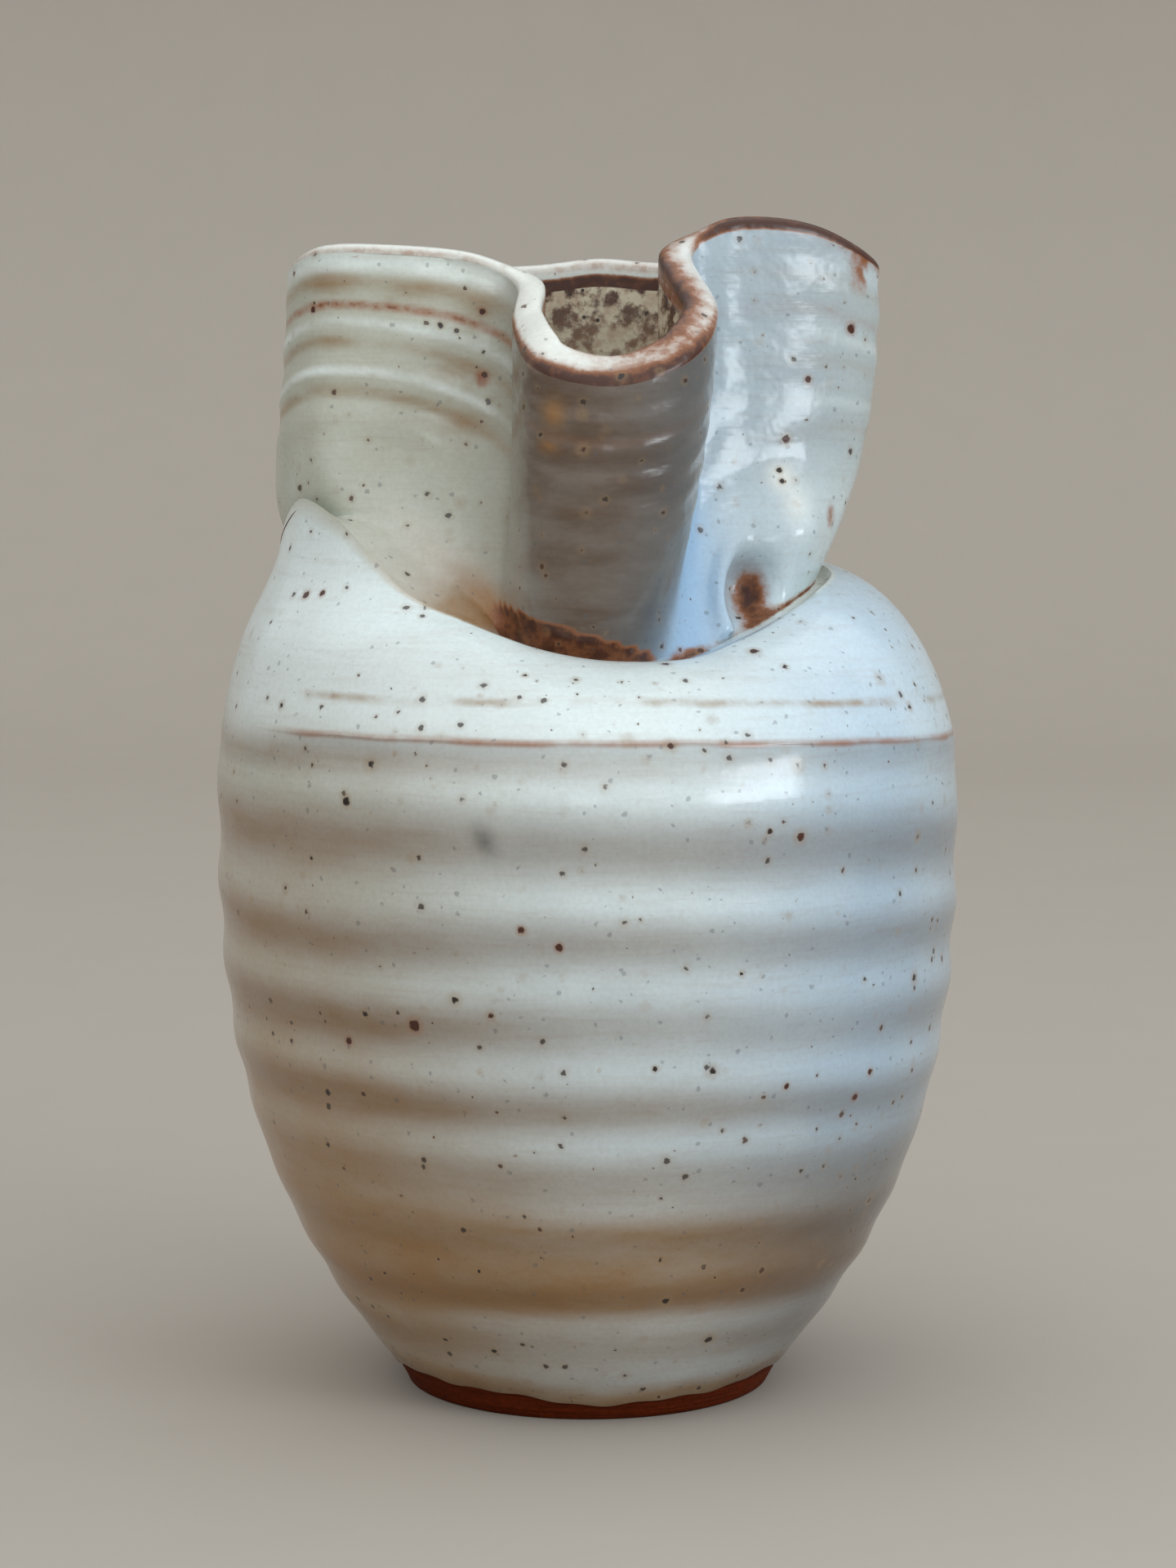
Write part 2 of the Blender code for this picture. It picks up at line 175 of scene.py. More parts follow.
# Larger iron spots on the glaze: x and z on the front, radius, and 1 for red-brown or 0 for black
SPOTS = (
    (-34.0, 93.8, 0.75, 0),
    (-24.4, 62.6, 0.95, 1),
    (-34.0, 59.3, 0.65, 1),
    (-4.0, 74.6, 0.60, 1),
    (-9.3, 77.0, 0.55, 1),
    (38.6, 50.0, 0.60, 1),
    (25.4, 90.2, 0.45, 0),
    (-41.5, 122.0, 0.70, 1),
    (-38.8, 122.2, 0.55, 1),
    (-15.6, 163.3, 0.50, 1),
    (-15.3, 154.0, 0.55, 1),
    (-40.9, 163.7, 0.50, 1),
    (-21.8, 161.3, 0.45, 0),
    (-19.4, 160.5, 0.40, 0),
    (39.6, 161.0, 0.80, 1),
    (33.0, 153.4, 0.60, 1),
    (28.5, 139.9, 0.50, 0),
    (28.9, 138.3, 0.45, 0),
)
# Smudges on the front of the neck, one of them painted shade: tone, x and z, half the width and half the
# height, and strength
SMUDGES = (
    ("rust", -15.6, 163.3, 2.4, 1.2, 0.34),
    ("rust", -15.7, 153.6, 1.5, 1.8, 0.52),
    ("rust", -16.9, 146.4, 1.6, 1.3, 0.20),
    ("rust", -40.2, 167.6, 1.8, 0.9, 0.24),
    ("rust", -40.2, 163.7, 2.0, 1.0, 0.30),
    ("tan", -15.8, 164.2, 3.6, 2.4, 0.70),
    ("tan", -19.0, 154.6, 4.2, 1.2, 0.75),
    ("tan", -18.2, 147.0, 3.6, 1.7, 0.75),
    ("tan", -38.6, 167.6, 3.6, 1.6, 0.85),
    ("tan", -25.5, 166.0, 5.0, 1.6, 0.45),
    ("tan", -38.0, 159.0, 3.2, 1.0, 0.60),
    ("rust", 33.0, 159.3, 8.0, 0.9, 0.26),
    ("rust", 36.8, 164.0, 2.6, 1.1, 0.26),
    ("rust", 41.0, 168.5, 2.0, 3.0, 0.42),
    ("rust", 24.0, 121.4, 2.5, 3.6, 1.00),
    ("rust", 14.5, 113.6, 2.6, 1.0, 0.45),
    ("rust", 36.6, 133.0, 1.0, 2.6, 0.45),
    # Painted shade in the hollow of the ear's pit
    ("umber", 23.4, 124.4, 2.8, 5.0, 0.42),
    ("amber", -16.6, 119.9, 4.6, 2.0, 1.00),
    ("amber", -5.0, 148.3, 1.5, 1.9, 1.00),
    ("rust", -5.3, 147.4, 0.8, 0.9, 0.34),
    ("amber", -5.7, 143.7, 1.3, 0.9, 0.85),
    ("cream", 28.7, 139.1, 2.0, 2.0, 1.00),
    ("cream", 31.0, 135.0, 1.9, 2.6, 0.70),
)
# Stripes round the wings: share up the neck, half the width, and tone
STRIPES = ((0.86, 0.04, "tan"), (0.64, 0.035, "tan"), (0.46, 0.04, "tan"),
           (0.93, 0.05, "pale"), (0.71, 0.035, "pale"), (0.535, 0.03, "pale"))
# The wheel's lines: heights of two on the shoulder in metres, and the share up the neck of one on the wings
SHOULDER_LINE, FAINT_LINE, WING_LINE = 0.1023, 0.1078, 0.775
# Optics of the surfaces: index of refraction, roughness of the gloss, and depth of the fine relief in metres
SURFACE_IOR, GLOSS_ROUGHNESS, RELIEF_DEPTH = 1.52, 0.06, 0.0005
# The lights: their tint, and the point that they face
LIGHT_TINT, LIGHT_TARGET = (0.86, 0.94, 1.0), (0.0, 0.0, 0.11)


def a_number(name, description, default, low=0.0, high=100.0, unit="NONE"):
    return FloatProperty(name=name, description=description, default=default, min=low, max=high, unit=unit)


def a_length(name, description, default, low=0.0, high=10.0):
    return a_number(name, description, default, low, high, "LENGTH")


def a_colour(name, description, default):
    return FloatVectorProperty(
        name=name, description=description, default=default, min=0.0, max=1.0, subtype="COLOR")


class VaseSizes(bpy.types.PropertyGroup):
    """Sizes of the thrown form."""

    belly_radius: a_length("Belly Radius", "Outside radius of the belly at its widest", 0.0561, 0.02)
    belly_height: a_length("Belly Height", "Height at which the belly is widest", 0.088, 0.02)
    belly_fullness: a_number("Belly Fullness", "How quickly the belly swells above the foot", 2.7, 1.0, 6.0)
    shoulder_start: a_length("Shoulder Start", "Height at which the shoulder starts to turn in", 0.094, 0.02)
    ring_relief: a_length("Ring Relief", "Height of the belly's throwing rings", 0.00026, 0.0, 0.003)
    neck_ring_relief: a_length("Neck Ring Relief", "Height of the rings on the neck", 0.00016, 0.0, 0.002)
    neck_flare: a_number("Neck Flare", "How quickly the neck spreads above the crease", 3.2, 1.0, 6.0)
    neck_wall: a_length("Neck Wall", "Thickness of the neck's wall and rim", 0.0050, 0.001)
    body_wall: a_length("Body Wall", "Thickness of the belly's wall", 0.0060, 0.001)
    floor_thickness: a_length("Floor Thickness", "Height of the floor inside the vase", 0.0080, 0.002)
    lip_lean: a_length("Lip Lean", "How much higher the lobe's inner edge stands than its outer edge", 0.0037)
    foot_radius: a_length("Foot Radius", "Radius of the foot where it stands", 0.0281, 0.01)
    glaze_line: a_length("Glaze Line", "Height at which the glaze stops above the foot", 0.0046, 0.001)
    glaze_line_radius: a_length("Glaze Line Radius", "Outside radius at the glaze line", 0.0307, 0.01)
    glaze_coat: a_length("Glaze Coat", "Thickness of the glaze", 0.0006, 0.0001, 0.002)
    clearance: a_length("Clearance", "Gap between the glaze and the clay", 0.0003, 0.0001, 0.001)


class VaseFinish(bpy.types.PropertyGroup):
    """Colours of the glazes and the clay."""

    pale: a_colour("Pale Glaze", "Thick glaze on the belly and shoulder", (0.77, 0.86, 0.845))
    mist: a_colour("Belly Glaze", "Thinner grey glaze on the belly", (0.49, 0.54, 0.545))
    # Tan is also painted as shade and warm bounce light in the belly's grooves, at its left and low down
    tan: a_colour("Tan Blush", "Warm blush in the grooves", (0.30, 0.188, 0.088))
    sage: a_colour("Sage Glaze", "Grey-green glaze on the wings", (0.475, 0.49, 0.405))
    # Umber is also painted as shade low on the belly's right, in its left grooves and in the deep groove
    # above the foot
    umber: a_colour("Thin Glaze", "Thin brown-grey glaze on the lobe", (0.092, 0.041, 0.011))
    # Slate is also painted as shade in the belly's grooves, down its right side and under the shoulder's line
    slate: a_colour("Grey Glaze", "Grey glaze on the right of the lobe", (0.085, 0.095, 0.105))
    # The run colour is also painted as cool window light on the right of the belly and neck
    run: a_colour("Glaze Run", "Thick blue-white glaze that has run down the fold", (0.32, 0.50, 0.70))
    # Amber is also painted as warm bounce light at the belly's left and low down
    amber: a_colour("Amber", "Orange glaze pooled in the crease", (0.33, 0.16, 0.045))
    russet: a_colour("Russet", "Red-brown blush round the iron", (0.29, 0.105, 0.038))
    # Its dark value is matched to the shaded recess at the lobe's foot, so it is partly painted shade
    rust: a_colour("Rust", "Red-brown iron where the glaze breaks", (0.055, 0.014, 0.006))
    # Also painted as light in the pocket left of the lobe
    cream: a_colour("Cream", "Cream glaze on the rim", (0.76, 0.78, 0.73))
    # Also painted as shade at the left wing's end and the far left of the shoulder
    soot_and_shade: a_colour("Kiln Grey", "Grey smoke marks from the kiln", (0.065, 0.06, 0.05))
    speck: a_colour("Iron Speck", "Dark specks of iron in the glaze", (0.022, 0.014, 0.010))
    liner: a_colour("Liner Cream", "Pale part of the liner glaze", (0.64, 0.58, 0.43))
    liner_dark: a_colour("Liner Brown", "Brown part of the liner glaze", (0.19, 0.085, 0.035))
    clay: a_colour("Clay", "Bare fired stoneware", (0.090, 0.013, 0.002))


class StageSettings(bpy.types.PropertyGroup):
    """Floor, lights and camera."""

    floor: a_colour("Floor", "Colour of the floor and backdrop", (0.40, 0.365, 0.32))
    key_power: a_number("Key", "Power of the softbox on the right", 2.2, unit="POWER")
    fill_power: a_number("Fill", "Power of the small light behind the camera", 0.4, unit="POWER")
    sky_strength: a_number("Sky", "Strength of the soft light from above", 1.30)
    horizon_strength: a_number("Horizon", "Strength of the soft light from the sides", 0.22)
    room_strength: a_number("Room", "Strength of the soft light from the front", 0.45)
    lens: a_number("Lens", "Focal length of the camera in millimetres", 86.25, 10.0, 500.0)
    distance: a_length("Camera Distance", "From the camera to the vase's axis", 0.572, 0.1)
    eye_height: a_length("Camera Height", "Height of the camera above the floor", 0.1485)
    look_down: FloatProperty(
        name="Look Down", description="Downward tilt of the camera",
        default=math.radians(5.65), subtype="ANGLE")


# Form of the vase

def station_numbers():
    """How far round the neck each column is, counted in stations."""
    return np.concatenate([k + np.arange(columns) / columns for k, columns in enumerate(SPANS)])


def round_curve(chart):
    """Smooth closed curve through a chart of stations, one point for each column."""
    chart = np.array(chart, float)
    points = []
    for k, columns in enumerate(SPANS):
        a, b, c, d = (chart[(k + step) % len(chart)] for step in (-1, 0, 1, 2))
        t = (np.arange(columns) / columns)[:, None]
        points.append(0.5 * (2 * b + (c - a) * t + (2 * a - 5 * b + 4 * c - d) * t**2
                             + (3 * b - 3 * c + d - a) * t**3))
    return np.concatenate(points)


def by_station(values):
    """A value for each column, from one for each station."""
    return round_curve(np.array(values, float)[:, None])[:, 0]


def from_station(first, *values):
    """A value for each column, from those of the stations from the first on, with 0 at the others."""
    chart = np.zeros(len(SPANS))
    chart[first:first + len(values)] = values
    return by_station(chart)


def bell(value, centre, width):
    return np.exp(-((value - centre) / width) ** 2)


def ramp(value, start, end):
    """Smooth step from 0 at start to 1 at end."""
    share = np.clip((value - start) / (end - start), 0, 1)
    return share * share * (3 - 2 * share)


def plan_inward(ring):
    along = np.roll(ring, -1, axis=0)[:, :2] - np.roll(ring, 1, axis=0)[:, :2]
    across = np.column_stack([-along[:, 1], along[:, 0], np.zeros(len(ring))])
    return across / np.linalg.norm(across, axis=1, keepdims=True)


def lifted(ring, height):
    return ring + np.column_stack([np.zeros((len(ring), 2)), height + np.zeros(len(ring))])


def circle(radius, height, turn):
    return np.column_stack([radius * np.cos(turn), radius * np.sin(turn), height + 0 * turn])


class Form:
    """The vase's curves and profiles, worked out from the sizes."""

    def __init__(self, sizes):
        self.sizes = sizes
        crest = round_curve([
            (reach * math.cos(math.radians(turn)), reach * math.sin(math.radians(turn)), height, power)
            for turn, reach, height, power in CREST])
        self.crest = crest[:, :3] * MM
        self.power = crest[:, 3]
        self.crease = round_curve(CREASE) * MM
        self.rim = round_curve(RIM) * MM
        self.rim[:, 2] += 0.9 * MM * bell(self.rim[:, 0] / MM, 1.5, 7.0) * (self.rim[:, 1] > 0)
        self.turn = np.unwrap(np.arctan2(self.crest[:, 1], self.crest[:, 0]))
        self.front = (self.turn + math.pi / 2 + math.pi) % math.tau - math.pi
        swell = np.zeros((len(SPANS), 3))
        swell[0] = (-3.0, 0.0, 0.0)
        swell[1] = (-1.6, -1.0, 0.0)
        swell[-1] = (-1.4, 1.0, 0.0)
        self.swell = round_curve(swell) * MM
        self.wall = by_station(WALL)[:, None] * sizes.neck_wall
        self.lift = by_station(LIFT) * MM
        self.neck_rings = by_station(NECK_RINGS)
        self.ring_show = by_station(RING_SHOW)
        self.flare = by_station(FLARE)[:, None] * sizes.neck_flare

    def belly_radius(self, height):
        sizes = self.sizes
        below = (sizes.glaze_line_radius - sizes.foot_radius) / sizes.glaze_line
        share = np.clip((height - sizes.glaze_line) / (sizes.belly_height - sizes.glaze_line), 0, 1)
        swell = (sizes.belly_radius - sizes.glaze_line_radius) * (1 - (1 - share) ** sizes.belly_fullness)
        return sizes.glaze_line_radius + swell + below * np.minimum(height - sizes.glaze_line, 0)

    def glaze_line(self):
        """Height of the wavy edge where the glaze stops: low at the front, higher at the sides."""
        wave = -1.3 * bell(self.front, 0.1, 0.55) + 0.5 * bell(self.front, -0.9, 0.4)
        wave += 0.25 * np.sin(9 * self.turn) + 0.15 * np.sin(23 * self.turn + 1) - 0.2 * np.sin(4 * self.turn)
        return self.sizes.glaze_line - 0.4 * MM + wave * MM

    def below_ring(self, height):
        """How far a point lies below a ring: 0 where the light catches it, 1 on the next one down.

        The rings wind down to the right.
        """
        turn = self.turn
        level = height / MM + 0.4 * np.sin(2 * turn + 1) + 0.25 * np.sin(5 * turn + height / MM / 11)
        rings = len(RING_LEVELS) - np.interp(level, RING_LEVELS, np.arange(len(RING_LEVELS)))
        winding = (self.front - 0.6 * np.sin(self.front)) / math.tau + 0.03 * (1 - np.cos(2 * self.front))
        return (rings - winding) % 1.0

    def ring_strength(self, height):
        turn = self.turn
        drift = 1 + 0.2 * np.sin(turn * 2 + height / MM / 9) + 0.12 * np.sin(turn * 3 - height / MM / 6)
        return np.interp(height / MM, *GROOVE_DEPTHS) * drift

    def relief(self, height):
        """Rings and unevenness of the belly, as a change of radius."""
        below = self.below_ring(height)
        rings = self.ring_strength(height) * np.sin(math.tau * below) * self.sizes.ring_relief
        uneven = 0.18 * np.sin(2 * self.turn + 0.7 + height / MM / 50)
        uneven += 0.16 * np.sin(3 * self.turn + 2.1 - height / MM / 30)
        return rings + uneven * ramp(height / MM, 5, 25) * MM

    def shoulder(self, share):
        """Ring of the shoulder, at a share of the way from the belly to the crest."""
        sizes = self.sizes
        corner = share * math.pi / 2
        out = np.cos(corner) ** (2 / self.power)
        up = np.sin(corner) ** (2 / self.power)
        reach = np.linalg.norm(self.crest[:, :2], axis=1)
        rise = self.crest[:, 2] - self.lift - sizes.shoulder_start
        height = sizes.shoulder_start + rise * up + self.lift * share**8
        fading = (1 - share) ** 1.5
        radius = reach + (sizes.belly_radius - reach) * out + self.relief(height) * fading
        return circle(radius, height, self.turn)

    def dip(self, share):
        """Ring between the crest and the crease, by way of the hollow between them."""
        low = np.minimum(self.crest[:, 2], self.crease[:, 2]) - 1.2 * MM
        hollow = np.column_stack([0.45 * self.crest[:, :2] + 0.55 * self.crease[:, :2], low])
        return (1 - share) ** 2 * self.crest + 2 * share * (1 - share) * hollow + share**2 * self.crease

    def neck(self, share, spread=1.0):
        """Ring of the neck, at a share of the way from crease to rim. A spread widens the ear's pit."""
        flare = 1 - (1 - share) ** self.flare
        rise = share / 0.2
        ring = self.crease + (self.rim - self.crease) * flare + self.swell * rise * math.exp(1 - rise)
        ring[:, 2] = self.crease[:, 2] + (self.rim[:, 2] - self.crease[:, 2]) * share
        x, y, z = ring.T / MM
        away = np.hypot((x - PIT_X) / PIT_WIDTH, (z - PIT_Z) / PIT_HEIGHT) / spread
        press = -PIT_DEPTH * np.clip(1 - away**2, 0, 1) ** 2
        if spread == 1.0:
            press += 1.6 * bell(away, 1.12, 0.22) * ramp(-x, -25, -20)
        press += 3.0 * bell(x, 30.5, 4.2) * bell(z, 131, 5.0)
        press *= ramp(-y, 0, 8)
        return ring - plan_inward(ring) * press[:, None] * MM

    def neck_relief(self, share):
        """Rings on the outside of the neck, wide on the wings and fine on the lobe."""
        wave = np.cos(share * self.neck_rings * math.tau) * self.ring_show
        strength = ramp(share, 0.15, 0.5) * (1 - ramp(share, 0.93, 0.99))
        return wave * strength * self.sizes.neck_ring_relief * (0.8 + 0.5 * np.sin(3 * self.turn + share * 9))

    def lip(self, share):
        """Ring of the rim, from its outer edge at 0 to its inner edge at 1."""
        edge = 0.3 * self.sizes.neck_wall
        corner = share * math.pi
        across = 0.5 * (1 - np.sign(np.cos(corner)) * abs(np.cos(corner)) ** 0.8)
        up = np.sin(corner) ** 0.8
        ring = self.rim + plan_inward(self.rim) * across * self.wall
        drop = ramp(self.rim[:, 2] / MM, 170, 154)
        return lifted(ring, edge * (up - 1) + self.sizes.lip_lean * drop * across)

    def outside(self):
        """Rings from the glaze line up the outside and over the rim, with each ring's place in the chart.

        The places are the share up the neck, and the distance past the rim's outer edge in wall thicknesses.
        """
        sizes = self.sizes
        line = self.glaze_line()
        rows = []
        for share in np.linspace(0, 1, BELLY_ROWS, endpoint=False):
            height = line + (sizes.shoulder_start - line) * share
            ring = circle(self.belly_radius(height) + self.relief(height), height, self.turn)
            rows.append((ring, share - 2, FAR_BELOW))
        for share in np.linspace(0, 1, SHOULDER_ROWS):
            rows.append((self.shoulder(share), 0.9 * share - 1, FAR_BELOW))
        for share in np.linspace(0, 1, DIP_ROWS + 1)[1:]:
            rows.append((self.dip(share), 0.1 * share - 0.1, FAR_BELOW))
        tall = self.lip(0.0)[:, 2] - self.crease[:, 2]
        for share in np.linspace(0, 1, NECK_ROWS + 1)[1:]:
            top = NECK_TOP * share
            ring = self.neck(top)
            ring = ring - plan_inward(ring) * self.neck_relief(top)[:, None]
            rows.append((ring, top, -(1 - top) * tall / sizes.neck_wall))
        for share in np.linspace(0, 1, RIM_ROWS):
            rows.append((self.lip(share), 1.0, share))
        for depth in np.linspace(0, 1, LAP_ROWS + 1)[1:]:
            rows.append((lifted(self.lip(1.0), -LAP * depth), 1.0, 1 + depth))
        level = np.zeros(COLUMNS)
        return (np.array([ring for ring, _, _ in rows]),
                np.array([share + level for _, share, _ in rows]),
                np.array([past + level for _, _, past in rows]))

    def inside(self):
        """Rings from the lap under the rim down the inside to the middle of the floor."""
        sizes = self.sizes
        lap = lifted(self.lip(1.0), -LAP)
        rings = [lap]
        for share in np.linspace(0.9, 0.05, INNER_NECK_ROWS):
            ring = self.neck(share, INNER_SPREAD)
            ring = ring + plan_inward(ring) * self.wall
            ring[:, 2] = np.minimum(ring[:, 2], lap[:, 2] - 0.5 * MM * len(rings))
            rings.append(ring)
        foot = lifted(self.crease + plan_inward(self.crease) * self.wall, -INNER_DROP)
        rings.append(foot)
        wide = sizes.belly_radius - sizes.body_wall
        start = sizes.shoulder_start - sizes.body_wall
        reach = np.linalg.norm(foot[:, :2], axis=1)
        turned = np.unwrap(np.arctan2(foot[:, 1], foot[:, 0]))
        turned += np.round((self.turn - turned) / math.tau) * math.tau
        for share in np.linspace(1, 0, INNER_SHOULDER_ROWS + 1)[1:]:
            out = math.cos(share * math.pi / 2) ** (2 / INNER_SQUARENESS)
            up = math.sin(share * math.pi / 2) ** (2 / INNER_SQUARENESS)
            turn = turned + (self.turn - turned) * out
            rings.append(circle(reach + (wide - reach) * out, start + (foot[:, 2] - start) * up, turn))
        low = sizes.floor_thickness
        for share in np.linspace(1, 0, INNER_BELLY_ROWS + 1)[1:]:
            height = low + (start - low) * share
            ripple = 0.7 * self.relief(height + 0 * self.turn) * ramp(share, 0.0, 0.15)
            rings.append(circle(self.belly_radius(height) - sizes.body_wall + ripple, height, self.turn))
        floor = np.linalg.norm(rings[-1][0, :2])
        for share in (0.8, 0.55, 0.3, 0.1, 0.0):
            rings.append(circle(floor * share, low - FLOOR_DIP * (1 - share), self.turn))
        return np.array(rings)


def grid_normals(rings):
    """Outward direction at each point of a stack of rings."""
    along = np.roll(rings, -1, axis=1) - np.roll(rings, 1, axis=1)
    normals = np.cross(along, np.gradient(rings, axis=0))
    return normals / np.maximum(np.linalg.norm(normals, axis=2, keepdims=True), 1e-12)


def sunk(rings, depth):
    return rings - grid_normals(rings) * depth


# Modelling

def select_edges(obj, wanted):
    """Selects the edges, in edit mode, that a test wants."""
    bpy.ops.mesh.select_mode(type="EDGE")
    bpy.ops.mesh.select_all(action="DESELECT")
    for side in bmesh.from_edit_mesh(obj.data).edges:
        side.select_set(wanted(side))
    bmesh.update_edit_mesh(obj.data)


def add_sheet(name, rings):
    """An open cylinder whose wall is cut into rows and then drawn to the rings.

    Returns each vertex's row and column too. The wall is cut in two goes, so the rings are odd in number.
    """
    rows, columns = rings.shape[:2]
    bpy.ops.object.select_all(action="DESELECT")
    bpy.ops.mesh.primitive_cylinder_add(vertices=columns, radius=1.0, depth=2.0, end_fill_type="NOTHING")
    obj = bpy.context.object
    obj.name = name
    obj.data.name = name
    parts = next(part for part in range(2, rows) if (rows - 1) % part == 0 and (rows - 1) // part <= 100)
    bpy.ops.object.mode_set(mode="EDIT")
    for pieces in (parts, (rows - 1) // parts):
        if pieces > 1:
            select_edges(obj, lambda side: abs(side.verts[0].co.z - side.verts[1].co.z) > 1e-4)
            bpy.ops.mesh.subdivide(number_cuts=pieces - 1)
    bpy.ops.object.mode_set(mode="OBJECT")
    places = np.zeros(len(obj.data.vertices) * 3)
    obj.data.vertices.foreach_get("co", places)
    x, y, z = places.reshape(-1, 3).T
    row = np.rint((z + 1) / 2 * (rows - 1)).astype(int)
    turn = np.arctan2(y, x)
    column = np.rint((turn - turn.min()) / math.tau * columns).astype(int) % columns
    obj.data.vertices.foreach_set("co", rings[row, column].ravel())
    obj.data.update()
    return obj, row, column


def store(obj, name, values):
    """Keeps a value for each vertex, for the materials to read."""
    layer = obj.data.attributes.new(name, "FLOAT", "POINT")
    layer.data.foreach_set("value", np.clip(values, 0, 1).astype(np.float32))


def close_poles():
    bpy.ops.object.mode_set(mode="EDIT")
    bpy.ops.mesh.select_all(action="SELECT")
    bpy.ops.mesh.remove_doubles(threshold=1e-6)
    bpy.ops.object.mode_set(mode="OBJECT")


def bridge_ends(obj):
    bpy.ops.object.mode_set(mode="EDIT")
    select_edges(obj, lambda side: side.is_boundary)
    bpy.ops.mesh.bridge_edge_loops()
    bpy.ops.object.mode_set(mode="OBJECT")


def thicken(obj, thickness):
    coat = obj.modifiers.new("coat", "SOLIDIFY")
    coat.thickness = thickness
    coat.offset = -1.0
    coat.use_even_offset = False
    bpy.ops.object.modifier_apply(modifier=coat.name)


def finish_piece(obj, material, node, angle=50):
    obj.data.materials.clear()
    obj.data.materials.append(material)
    bpy.ops.object.shade_smooth_by_angle(angle=math.radians(angle))
    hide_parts(node)
    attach(obj, "root")


# Materials

class Nodes:
    """A node tree with a short call for each kind of node, and the colour painted so far."""

    def __init__(self, tree, ground=None):
        self.tree = tree
        self.colour = ground

    def plug(self, socket, value):
        if isinstance(value, bpy.types.NodeSocket):
            self.tree.links.new(value, socket)
        elif socket.type == "RGBA":
            socket.default_value = (*value, 1.0)
        else:
            socket.default_value = value

    def add(self, kind, given=None, **settings):
        """A new node with its settings and what its inputs are given. Returns its outputs."""
        node = self.tree.nodes.new("ShaderNode" + kind)
        for name, value in settings.items():
            setattr(node, name, value)
        for label, value in (given or {}).items():
            self.plug(node.inputs[label], value)
        return node.outputs

    def calc(self, operation, first, second=0.0):
        return self.add("Math", {0: first, 1: second}, operation=operation)[0]

    def plus(self, first, second):
        return self.calc("ADD", first, second)

    def times(self, first, *others):
        for other in others:
            first = self.calc("MULTIPLY", first, other)
        return first

    def larger(self, first, second):
        return self.calc("MAXIMUM", first, second)

    def stretch(self, mask, gain, start):
        return self.plus(self.times(mask, gain), start)

    def blend(self, factor, under, over):
        return self.add("Mix", {0: factor, 6: under, 7: over}, data_type="RGBA")[2]

    def paint(self, tone, *factors):
        """Lays a tone over the colour so far, as strongly as the factors make together."""
        self.colour = self.blend(self.times(*factors), self.colour, tone)

    def between(self, value, low, high):
        """0 at low and 1 at high, smoothly."""
        given = {"Value": value, "From Min": low, "From Max": high}
        return self.add("MapRange", given, interpolation_type="SMOOTHSTEP")["Result"]

    def layer(self, name):
        return self.add("Attribute", attribute_name=name)["Fac"]

    def patchy(self, name, low, mask):
        """A layer whose strength varies with a mask, from low to full."""
        return self.times(self.layer(name), self.stretch(mask, 1 - low, low))

    def place(self):
        return self.add("TexCoord")["Object"]

    def axes(self, vector):
        return self.add("SeparateXYZ", {0: vector})

    def scaled(self, vector, scale):
        return self.add("Mapping", {"Vector": vector, "Scale": scale})[0]

    def noise(self, vector, scale, detail=3.0, rough=0.55):
        given = {"Vector": vector, "Scale": scale, "Detail": detail, "Roughness": rough}
        return self.add("TexNoise", given)["Fac"]

    def uneven(self, vector, scale, amount):
        """Noise that swings to both sides of 0."""
        return self.times(self.calc("SUBTRACT", self.noise(vector, scale, 2.0), 0.5), amount)

    def group(self, maker, **given):
        """A shared node group, made when it is first used and named after its maker."""
        tree = bpy.data.node_groups.get(maker.__name__) or maker()
        return self.add("Group", given, node_tree=tree)

    def patches(self, vector, scale, low, high):
        return self.group(mottle, Vector=vector, Scale=scale, Low=low, High=high)["Factor"]

    def specks(self, vector, scale, size, share):
        return self.group(iron_specks, Vector=vector, Scale=scale, Size=size, Share=share)

    def line(self, value, centre, width):
        return self.group(wheel_line, Value=value, Centre=centre, Width=width)["Factor"]

    def shade(self, roughness, height, bump, coat, specular=0.5):
        """Ends the material with its shader, in the colour painted."""
        relief = self.add("Bump", {"Strength": bump, "Distance": RELIEF_DEPTH, "Height": height})
        shader = self.add("BsdfPrincipled", {
            "Base Color": self.colour, "Roughness": roughness, "Normal": relief["Normal"], "IOR": SURFACE_IOR,
            "Specular IOR Level": specular, "Coat Weight": coat, "Coat Roughness": GLOSS_ROUGHNESS})
        self.add("OutputMaterial", {0: shader[0]})


def new_material(name, ground):
    material = bpy.data.materials.new(name)
    material.use_nodes = True
    material.node_tree.nodes.clear()
    return material, Nodes(material.node_tree, ground)


def start_group(name, vectors, floats, outputs):
    """A new node group, with its given and resulting sockets."""
    tree = bpy.data.node_groups.new(name, "ShaderNodeTree")
    kinds = ((vectors, "INPUT", "Vector"), (floats, "INPUT", "Float"), (outputs, "OUTPUT", "Float"))
    for labels, way, kind in kinds:
        for label in labels:
            tree.interface.new_socket(label, in_out=way, socket_type="NodeSocket" + kind)
    given = tree.nodes.new("NodeGroupInput").outputs
    return Nodes(tree), given, tree.nodes.new("NodeGroupOutput").inputs


def mottle():
    """Soft uneven patches."""
    nodes, given, result = start_group("mottle", ("Vector",), ("Scale", "Low", "High"), ("Factor",))
    patches = nodes.noise(given["Vector"], given["Scale"], 4.0, 0.6)
    nodes.plug(result["Factor"], nodes.between(patches, given["Low"], given["High"]))
    return nodes.tree


